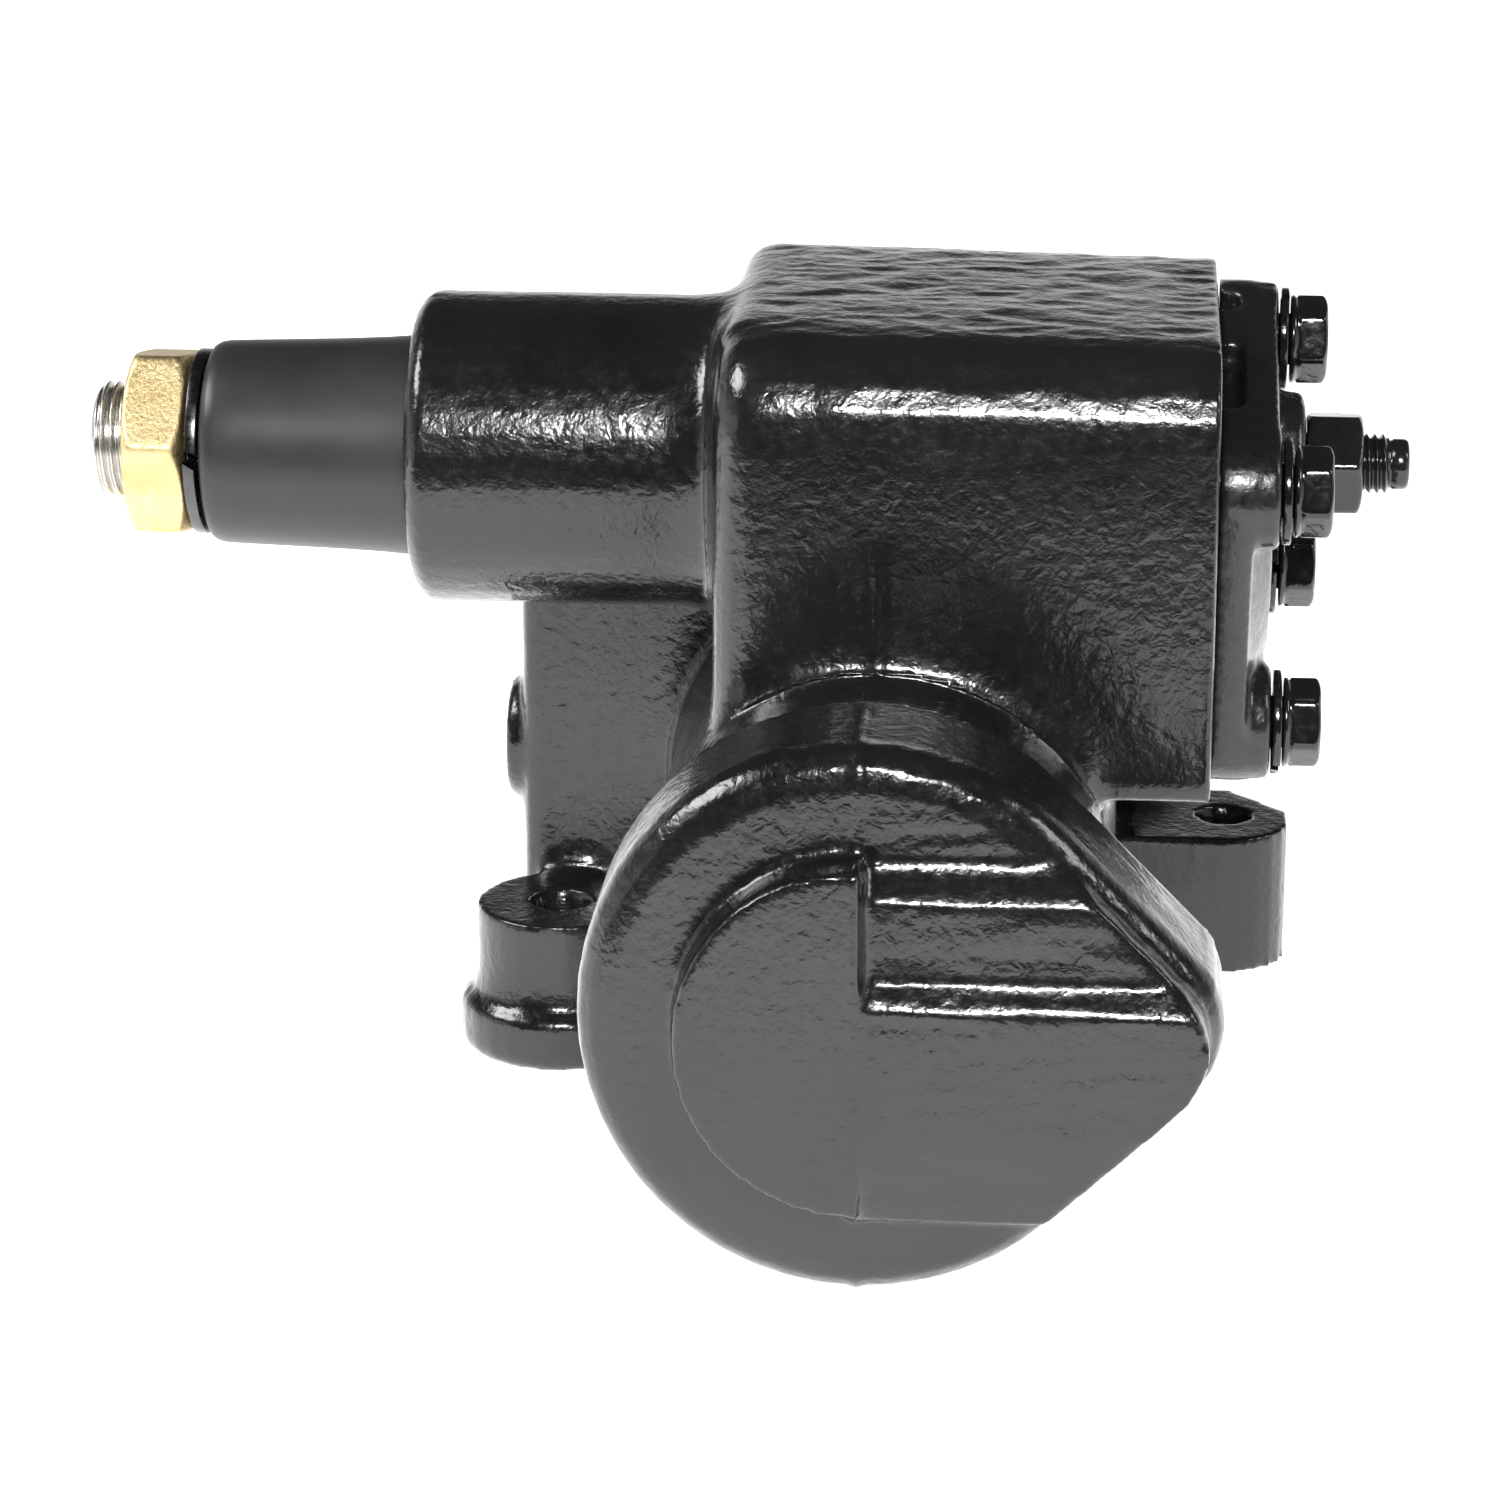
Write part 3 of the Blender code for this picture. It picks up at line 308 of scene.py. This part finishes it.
def cast(node, name, fixed, detail, tight=None, soft=None):
    """A casting from a CAD node: hollow corners filled, outer edges rounded, machined faces left.

    fixed(points) is 1 where the surface is machined or inside, and detail(points, normals) is a
    height to add elsewhere. Where tight(points) is 1 the fillets are small, and where
    soft(points) is 1 the outer edges are rounder.
    """
    mesh = remeshed(node, name)
    start = points_of(mesh)
    edges = edges_of(mesh)
    degree = np.bincount(edges.ravel(), minlength=len(start)).astype(float)
    light = spread(start, edges, degree, rounds(EDGE_REACH))
    heavy = spread(light, edges, degree, rounds(FILLET_REACH))
    normals = normals_of(mesh, light)
    sink = EDGE_SINK if soft is None else EDGE_SINK + SOFT_SINK * soft(start)
    rise = np.clip(((heavy - light) * normals).sum(1), -sink, FILLET_RISE)
    if tight is not None:
        small = spread(light, edges, degree, rounds(TIGHT_REACH))
        small_rise = np.clip(((small - light) * normals).sum(1), -sink, FILLET_RISE)
        share = tight(start)
        rise = rise * (1 - share) + small_rise * share
    rise = spread(rise[:, None], edges, degree, rounds(BLUR_REACH))[:, 0]
    shaped = light + rise[:, None] * normals
    shaped += detail(shaped, normals)[:, None] * normals
    hold = spread(fixed(start).astype(float)[:, None], edges, degree, 2)
    final = start * hold + shaped * (1 - hold)
    mesh.vertices.foreach_set("co", final.astype(np.float32).ravel())
    mesh.update()
    mesh.shade_smooth()
    return mesh


def in_round(points, axis, centre, radius, low, high):
    """True for points inside a cylinder along X (0) or Y (1)."""
    across = [k for k in range(3) if k != axis]
    away = np.hypot(*(points[:, k] - centre[k] for k in across))
    along = points[:, axis] - centre[axis]
    return (away < radius) & (along > low) & (along < high)


def near_plane(points, axis, at, within=0.9 * MM):
    return np.abs(points[:, axis] - at) < within


def lumps(points, scale, seed):
    """Smooth random heights from -1 to 1. scale is in lumps per metre, one number per axis."""
    offset = Vector((seed * 3.7, seed * 1.3, seed * 2.1))
    scaled = points * np.array(scale)
    return np.array([noise.noise(Vector(p) + offset) for p in scaled])


def lathe(name, section, count=96, closed=False):
    """A body round the X axis through SECTOR.

    section(angle) gives the (x, radius) points of its outline, which closed joins into a ring.
    """
    angles = [2 * math.pi * k / count for k in range(count)]
    rows = [section(a) for a in angles]
    work = bmesh.new()
    grid = []
    for a, row in zip(angles, rows):
        line = []
        for x, r in row:
            line.append(work.verts.new(SECTOR + Vector((x, r * math.cos(a), r * math.sin(a)))))
        grid.append(line)
    size = len(rows[0])
    for k in range(count):
        this, after = grid[k], grid[(k + 1) % count]
        for i in range(size if closed else size - 1):
            j = (i + 1) % size
            work.faces.new((this[i], after[i], after[j], this[j]))
    bmesh.ops.remove_doubles(work, verts=work.verts, dist=1e-7)
    bmesh.ops.dissolve_degenerate(work, edges=work.edges, dist=1e-8)
    bmesh.ops.recalc_face_normals(work, faces=work.faces)
    mesh = bpy.data.meshes.new(name)
    work.to_mesh(mesh)
    work.free()
    mesh.shade_smooth()
    return mesh


def soft_least(a, b, blend):
    """The lesser of two numbers, with the corner between them rounded."""
    return -blend * math.log(math.exp(-a / blend) + math.exp(-b / blend))


def hexagon_radius(angle, across, turn):
    side = (angle - turn) % (math.pi / 3) - math.pi / 6
    return soft_least(across / 2 / math.cos(side), across / math.sqrt(3) - 0.25 * MM, 0.1 * MM)


def hexagon(low, high, across, turn, chamfers, bore=0.0):
    """Section of a hexagonal head or nut with a corner at turn.

    chamfers says which ends are bevelled, (at low, at high). A bore of 0 is solid.
    """
    inset = [0, 0.12, 0.3, 0.6, 1.0, 1.5, 2.2, 3.2]
    xs = [low + k * MM for k in inset] + [high - k * MM for k in reversed(inset)]

    def section(angle):
        rows = []
        for x in xs:
            r = hexagon_radius(angle, across, turn)
            for chamfered, end in zip(chamfers, (low, high)):
                away = abs(x - end)
                start = across / 2 - 0.5 * MM if chamfered else across / 2 + 0.6 * MM
                r = soft_least(r, start + away * 1.8 + 0.08 * MM, 0.16 * MM)
                r -= 0.22 * MM * math.exp(-away / (0.12 * MM))
            rows.append((x, r))
        if bore:
            lip = bore + 0.7 * MM
            return [(low, lip), *rows, (high, lip), (high - 0.7 * MM, bore), (low + 0.7 * MM, bore)]
        return [(low, 0.0), *rows, (high, 0.0)]

    return section


def thread_radius(x, angle, major, depth, pitch):
    phase = (x / pitch - angle / (2 * math.pi)) % 1
    flank = min(max((abs(2 * phase - 1) - 0.12) / 0.76, 0), 1)
    return major - depth * flank


def threaded(low, high, major, depth, pitch, tip):
    """(x, radius) points of a thread along a run, with its low end bevelled to the radius tip."""
    steps = max(8, round((high - low) / pitch * 10))

    def section(angle):
        rows = []
        for k in range(steps + 1):
            x = low + (high - low) * k / steps
            bevel = tip + (x - low) * 1.1
            rows.append((x, min(thread_radius(x, angle, major, depth, pitch), bevel)))
        return rows

    return section


def cut_short(node, name, x, keep_above):
    """A copy of a node on one side of the plane at x from SECTOR, with the cut filled."""
    mesh = welded_copy(node, name)
    work = bmesh.new()
    work.from_mesh(mesh)
    place = SECTOR + Vector((x, 0, 0))
    cut = bmesh.ops.bisect_plane(
        work,
        geom=work.verts[:] + work.edges[:] + work.faces[:],
        plane_co=place,
        plane_no=(1, 0, 0),
        clear_inner=keep_above,
        clear_outer=not keep_above,
    )
    edges = [item for item in cut["geom_cut"] if isinstance(item, bmesh.types.BMEdge)]
    bmesh.ops.contextual_create(work, geom=edges)
    work.to_mesh(mesh)
    work.free()
    return mesh


# ------------------------------------------------------------------ castings
BORE_R = 37 * MM
OPENING_R = 30.3 * MM
COVER_CENTRE = SECTOR + Vector((0, 0, -13 * MM))
COVER_FACE = SECTOR.x + 60 * MM
REAR_FACE = SECTOR.y + 88 * MM
EAR_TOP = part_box("cover_washer_1")[0].x - 0.3 * MM


def housing_fixed(points):
    bore = in_round(points, 1, WORM, BORE_R + 0.9 * MM, -104 * MM, 95 * MM)
    tube = in_round(points, 0, SECTOR, 25.2 * MM, -88.9 * MM, -15 * MM)
    below = in_round(points, 0, SECTOR, 46.4 * MM, -22 * MM, 61 * MM)
    below &= points[:, 2] < SECTOR.z + 3 * MM
    shaft = in_round(points, 0, SECTOR, 20 * MM, -30 * MM, 30 * MM)
    opening = in_round(points, 0, COVER_CENTRE, OPENING_R + 0.9 * MM, 22 * MM, 61 * MM)
    joint = near_plane(points, 0, COVER_FACE) | near_plane(points, 1, REAR_FACE)
    joint |= near_plane(points, 2, 0)
    return bore | tube | below | shaft | opening | joint


def housing_detail(points, normals):
    """Heights of what the mould and the paint left on the housing."""
    local = points - np.array(SECTOR)
    x, y, z = local.T
    height = 0.10 * MM * lumps(points, (75, 75, 75), 1)
    top = np.clip((normals[:, 2] - 0.35) / 0.4, 0, 1) * np.clip((z - 10 * MM) / (10 * MM), 0, 1)
    top *= np.clip((x + 32 * MM) / (12 * MM), 0, 1)
    waves = lumps(points, (75, 150, 150), 2) + 0.45 * lumps(points, (170, 320, 320), 3)
    height += 0.50 * MM * top * (0.55 - np.abs(waves))
    # The line where the mould's halves met, down the front and the back
    seam = np.exp(-((x / (1.1 * MM)) ** 2)) * np.clip((0.75 - np.abs(normals[:, 0])) / 0.3, 0, 1)
    seam *= np.clip((-z - 4 * MM) / (6 * MM), 0, 1) * (np.abs(y) > 36 * MM)
    height += 0.70 * MM * seam * (0.75 + 0.25 * lumps(points, (200, 200, 200), 4))
    # Runs of thick paint on the closed end's flat steps
    end = np.clip((-y - 108 * MM) / (3 * MM), 0, 1) * np.clip((x - 1 * MM) / (2 * MM), 0, 1)
    height += 0.16 * MM * end * lumps(points, (60, 60, 420), 5)
    return height


def housing_tight(points):
    return np.clip((SECTOR.y - 104 * MM - points[:, 1]) / (5 * MM), 0, 1)


def housing_soft(points):
    """The left half of the boss on the closed end, and the box's front left corner."""
    x, y, z = (points - np.array(SECTOR)).T
    boss = np.clip((-y - 112 * MM) / (3 * MM), 0, 1) * np.clip(-x / (3 * MM), 0, 1)
    corner = np.clip((-x - 10 * MM) / (8 * MM), 0, 1) * np.clip((-y - 30 * MM) / (8 * MM), 0, 1)
    corner *= np.clip((x + 36 * MM) / (3 * MM), 0, 1) * np.clip((70 * MM + y) / (6 * MM), 0, 1)
    return boss + 2.4 * corner * np.clip((z + 45 * MM) / (10 * MM), 0, 1)


def cover_fixed(points):
    inner = in_round(points, 0, SECTOR, 14.6 * MM, 40 * MM, 60 * MM)
    hole = in_round(points, 0, SECTOR, 6.6 * MM, 40 * MM, 75 * MM)
    spigot = points[:, 0] < COVER_FACE + 0.9 * MM
    return inner | hole | spigot | near_plane(points, 0, EAR_TOP, 0.5 * MM)


def cover_detail(points, normals):
    return 0.08 * MM * lumps(points, (110, 110, 110), 6)


def valve_fixed(points):
    inner = in_round(points, 1, WORM, 34 * MM, 80 * MM, 160 * MM)
    inner &= points[:, 2] < WORM.z + 33 * MM
    joint = points[:, 1] < REAR_FACE + 1.2 * MM
    return inner | joint


def valve_detail(points, normals):
    return 0.09 * MM * lumps(points, (80, 80, 80), 7)


def all_tight(points):
    return np.ones(len(points))


for node, paint, *shaping in (
    ("housing", PAINT, housing_fixed, housing_detail, housing_tight, housing_soft),
    ("side_cover", COVER_PAINT, cover_fixed, cover_detail, all_tight),
    ("valve_housing", PAINT, valve_fixed, valve_detail),
):
    name = "cast_" + node
    new_piece(name, cast(node, name, *shaping), paint, "case", [node])


# ------------------------------------------------------------- sector shaft
THREAD_START = -127.2 * MM
THREAD_PITCH = 25.4 / 14 * MM  # the 7/8-14 thread that the record names
NUT_ACROSS = 33.3 * MM  # its 1-5/16 inch hexagon
NUT_TURN = math.radians(-9)  # both nuts are turned by this
nut_low, nut_high = (corner.x - SECTOR.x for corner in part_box("shaft_nut"))
shaft_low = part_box("sector_shaft")[0].x - SECTOR.x

stub = cut_short("sector_shaft", "ground_shaft", THREAD_START, True)
new_piece("ground_shaft", stub, GROUND, "sector", ["sector_shaft"])


def shaft_end(angle):
    run = threaded(shaft_low, -128.6 * MM, 11.05 * MM, 0.95 * MM, THREAD_PITCH, 9.5 * MM)(angle)
    centre = [(shaft_low + 2.2 * MM, 0.0), (shaft_low, 2.0 * MM), (shaft_low, 9.2 * MM)]
    return centre + run + [(-128.3 * MM, 9.55 * MM), (THREAD_START, 9.55 * MM), (THREAD_START, 0.0)]


new_piece("shaft_thread", lathe("shaft_thread", shaft_end, 96), STEEL, "sector")

nut_section = hexagon(nut_low, nut_high, NUT_ACROSS, NUT_TURN, (True, True), 11.5 * MM)
nut_mesh = lathe("zinc_nut", nut_section, 144, True)
new_piece("zinc_nut", nut_mesh, ZINC, "sector", ["shaft_nut"])


def sleeve(angle):
    """A moulded protector, with a soft shoulder and a small flare where it meets the tube."""
    outer = [(-87.4, 20.5), (-88.4, 20.9), (-89.4, 20.95), (-91, 20.75), (-96, 20.35)]
    outer += [(-104, 19.95), (-114, 19.6), (-122, 19.35), (-126, 19.2), (-127.5, 18.95)]
    outer += [(-128.5, 18.4), (-129.05, 17.5), (-129.2, 16.3)]
    inner = [(-129.2, 12.2), (-128.8, 11.7), (-126.6, 11.7), (-126.2, 12.4), (-125.6, 14.8)]
    inner += [(-92, 16.6), (-87.4, 16.6)]
    return [(x * MM, r * MM) for x, r in outer + inner]


sleeve_mesh = lathe("sleeve", sleeve, 128, True)
new_piece("sleeve", sleeve_mesh, SLEEVE, "sector", ["spline_protector"])


# ----------------------------------------------------------------- fasteners
SLIT_SLANT = 35  # turn of the washers' gap along their thickness, in radians per metre


def onto(axis, centre):
    """Takes a body turned round SECTOR's X axis to another centre, along X or Y."""
    there = Matrix.Translation(centre)
    turn = Matrix.Rotation(math.pi / 2, 4, "Z") if axis == 1 else Matrix.Identity(4)
    return there @ turn @ Matrix.Translation(-SECTOR)


def bolt(node, name, axis, across, head, turn):
    """A hexagon head bolt in place of a node, whose head is the last part of its box."""
    low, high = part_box(node)
    start, end = low[axis] - SECTOR[axis], high[axis] - SECTOR[axis]
    centre = (low + high) / 2
    centre[axis] = SECTOR[axis]
    seat = end - head
    top = hexagon(seat, end, across, turn, (False, True))

    def section(angle):
        shank = [(start, 0.0), (start, 4.2 * MM), (start + 0.7 * MM, 4.85 * MM), (seat, 4.85 * MM)]
        rim = across * 0.56
        collar = [(seat, rim - 0.4 * MM), (seat + 0.2 * MM, rim), (seat + 0.8 * MM, rim)]
        collar += [(seat + 1.1 * MM, rim - 0.5 * MM)]
        return shank + collar + [row for row in top(angle)[1:] if row[0] > seat + 1.15 * MM]

    mesh = lathe(name, section, 144)
    mesh.transform(onto(axis, centre))
    new_piece(name, mesh, STEEL_PAINT, "case", [node])


def spring_washer(node, name, axis, inner, first, material, body):
    """A split washer: a square-section ring that climbs from the angle first to a slanted gap."""
    low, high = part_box(node)
    centre = (low + high) / 2
    centre[axis] = SECTOR[axis]
    across = 2 if axis == 1 else 1
    outer = (high[across] - low[across]) / 2
    thick = high[axis] - low[axis]
    start = low[axis] - SECTOR[axis]
    wire = thick * 0.84
    rows = 96
    work = bmesh.new()
    rings = []
    for k in range(rows + 1):
        share = k / rows
        angle = first + 2 * math.pi * share * 0.972
        x0 = start + (thick - wire) * share
        x1 = x0 + wire
        r = 0.28 * MM
        outline = [(x0, inner), (x0, outer - r), (x0 + r * 0.3, outer - r * 0.3), (x0 + r, outer)]
        outline += [(x1 - r, outer), (x1 - r * 0.3, outer - r * 0.3), (x1, outer - r), (x1, inner)]
        ring = []
        for x, q in outline:
            turned = angle + (x - start) * SLIT_SLANT
            ring.append(
                work.verts.new(SECTOR + Vector((x, q * math.cos(turned), q * math.sin(turned))))
            )
        rings.append(ring)
    for this, after in zip(rings, rings[1:]):
        for i in range(len(this)):
            j = (i + 1) % len(this)
            work.faces.new((this[i], after[i], after[j], this[j]))
    work.faces.new(rings[0])
    work.faces.new(list(reversed(rings[-1])))
    bmesh.ops.recalc_face_normals(work, faces=work.faces)
    mesh = bpy.data.meshes.new(name)
    work.to_mesh(mesh)
    work.free()
    mesh.shade_smooth()
    mesh.set_sharp_from_angle(angle=math.radians(50))
    mesh.transform(onto(axis, centre))
    new_piece(name, mesh, material, body, [node])


spring_washer(
    "lock_washer", "split_washer", 0, 11.8 * MM, math.pi, DARK_STEEL, "sector"
)
for k in range(1, 5):
    bolt(f"cover_bolt_{k}", f"cover_screw_{k}", 0, 14.8 * MM, 7 * MM, math.radians(16))
    washer, ring = f"cover_washer_{k}", f"spring_washer_{k}"
    spring_washer(washer, ring, 0, 5.4 * MM, k, STEEL_PAINT, "case")
for k in range(1, 5):
    bolt(f"flange_bolt_{k}", f"flange_screw_{k}", 1, 13 * MM, 6 * MM, math.radians(20))


# ------------------------------------------------------------ lash adjuster
adjuster_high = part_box("adjuster_screw")[1].x - SECTOR.x
ADJUSTER_CUT = 80 * MM
base = cut_short("adjuster_screw", "adjuster_stem", ADJUSTER_CUT, False)
new_piece("adjuster_stem", base, STEEL_PAINT, "case", ["adjuster_screw"])


def adjuster_end(angle):
    """Its thread, a neck, and a plain bevelled pilot."""
    steps = 100
    run_high = 92.2 * MM
    rows = [(ADJUSTER_CUT, 0.0)]
    for k in range(steps + 1):
        x = ADJUSTER_CUT + (run_high - ADJUSTER_CUT) * k / steps
        limit = 4.9 * MM + (run_high - x) * 1.3
        rows.append((x, min(thread_radius(x, angle, 5.6 * MM, 0.75 * MM, 1.5 * MM), limit)))
    neck = [(0.2, 4.5), (0.6, 4.5), (0.8, 4.75)]
    pilot = [(-0.9, 4.75), (-0.3, 4.5), (0, 3.9), (0, 1.1), (-0.8, 0)]
    rows += [(run_high + x * MM, r * MM) for x, r in neck]
    return rows + [(adjuster_high + x * MM, r * MM) for x, r in pilot]


end_mesh = lathe("adjuster_end", adjuster_end, 72)
new_piece("adjuster_end", end_mesh, STEEL_PAINT, "case")
locknut_low, locknut_high = (corner.x - SECTOR.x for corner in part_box("adjuster_locknut"))
locknut = hexagon(locknut_low, locknut_high, 18 * MM, NUT_TURN, (True, True), 5.75 * MM)
locknut_mesh = lathe("lock_hexagon", locknut, 144, True)
new_piece("lock_hexagon", locknut_mesh, STEEL_PAINT, "case", ["adjuster_locknut"])


# ----------------------------------------------- finishes of the other nodes
for row in frame["record"]["subparts"]:
    finishes = frame["nodes"][row["node"]].data.materials
    finishes.clear()
    finishes.append(BY_SLOT[row["material_slot"]])


# ---------------------------------------------------------- floor and lights
def plane(name, size, centre, turn=(0, 0, 0)):
    mesh = bpy.data.meshes.new(name)
    half = size / 2
    corners = [(-half, -half, 0), (half, -half, 0), (half, half, 0), (-half, half, 0)]
    mesh.from_pydata(corners, [], [(0, 1, 2, 3)])
    obj = bpy.data.objects.new(name, mesh)
    obj.location, obj.rotation_euler = centre, turn
    bpy.context.scene.collection.objects.link(obj)
    return obj


floor = plane("floor", 14, (0, 0, -0.2 * MM))
floor_look = Shader("pale_floor")
floor_look.put(Base_Color=(0.86, 0.86, 0.86, 1), Roughness=0.9)
floor_look.put(Emission_Color=(1, 1, 1, 1), Emission_Strength=1.05)
floor.data.materials.append(floor_look.material)


def area_light(name, size, power, azimuth, elevation, away, height=None):
    """A soft box aimed at the gearbox. Azimuth 0 is in front of it, on -Y, and 90 on +X."""
    data = bpy.data.lights.new(name, "AREA")
    data.shape, data.size, data.energy = "RECTANGLE", size, power
    data.size_y = height or size
    obj = bpy.data.objects.new(name, data)
    bpy.context.scene.collection.objects.link(obj)
    a, e = math.radians(azimuth), math.radians(elevation)
    back = Vector((math.sin(a) * math.cos(e), -math.cos(a) * math.cos(e), math.sin(e)))
    obj.location = SECTOR + back * away
    obj.rotation_euler = back.to_track_quat("Z", "Y").to_euler()


area_light("key_light", 0.42, 30, 4, 31, 1.6, 0.2)
area_light("left_light", 0.8, 16, -82, 40, 1.5, 0.5)
area_light("right_light", 0.4, 4, 80, 32, 1.6)


def black_flag(name, size, centre, turn=(0, 0, 0)):
    """A dark card in front of the set, which only reflections see."""
    obj = plane(name, size, centre, turn)
    look = Shader(name)
    look.put(Base_Color=(0.01, 0.01, 0.01, 1), Roughness=1.0, Specular_IOR_Level=0.0)
    obj.data.materials.append(look.material)
    obj.visible_camera = obj.visible_diffuse = obj.visible_shadow = False


FLAG = 5.0  # side of each card
black_flag("low_flag", FLAG, (0, SECTOR.y - 0.40 - FLAG / 2, 2 * MM))
black_flag("front_flag", FLAG, (0, SECTOR.y - 2.2, FLAG / 2), (math.pi / 2, 0, 0))

world = bpy.data.worlds.new("studio")
bpy.context.scene.world = world
world.use_nodes = True
sky = world.node_tree
sky.nodes.clear()
direction = sky.nodes.new("ShaderNodeTexCoord").outputs["Generated"]
split = sky.nodes.new("ShaderNodeSeparateXYZ")
sky.links.new(direction, split.inputs[0])
fade = sky.nodes.new("ShaderNodeValToRGB")
fade.color_ramp.interpolation = "EASE"
LOW_SKY, HIGH_SKY = math.sin(math.radians(4)), math.sin(math.radians(23))
fade.color_ramp.elements[0].position = LOW_SKY
fade.color_ramp.elements[0].color = (1, 1, 1, 1)
fade.color_ramp.elements[1].position = HIGH_SKY
fade.color_ramp.elements[1].color = (0.05, 0.05, 0.05, 1)
sky.links.new(split.outputs["Z"], fade.inputs["Fac"])
glow = sky.nodes.new("ShaderNodeBackground")
sky.links.new(fade.outputs["Color"], glow.inputs["Color"])
glow.inputs["Strength"].default_value = 1.0
sky.links.new(glow.outputs[0], sky.nodes.new("ShaderNodeOutputWorld").inputs[0])
bpy.context.scene.view_settings.view_transform = "Standard"

# ----------------------------------------------------------------- the camera
right = Vector((math.cos(CAMERA_TURN), math.sin(CAMERA_TURN), 0))
lean = math.sin(CAMERA_UP)
up = Vector((-math.sin(CAMERA_TURN) * lean, math.cos(CAMERA_TURN) * lean, math.cos(CAMERA_UP)))
back = right.cross(up)
aim = Matrix((right, up, back)).transposed().to_4x4()
aim.translation = SECTOR - CAMERA_SHIFT[0] * right - CAMERA_SHIFT[1] * up + CAMERA_AWAY * back
camera = bpy.data.objects.new("camera", bpy.data.cameras.new("camera"))
camera.data.lens = LENS_MM
camera.data.sensor_width = 36
camera.data.clip_start = 0.05
camera.matrix_world = aim
bpy.context.scene.collection.objects.link(camera)
bpy.context.scene.camera = camera
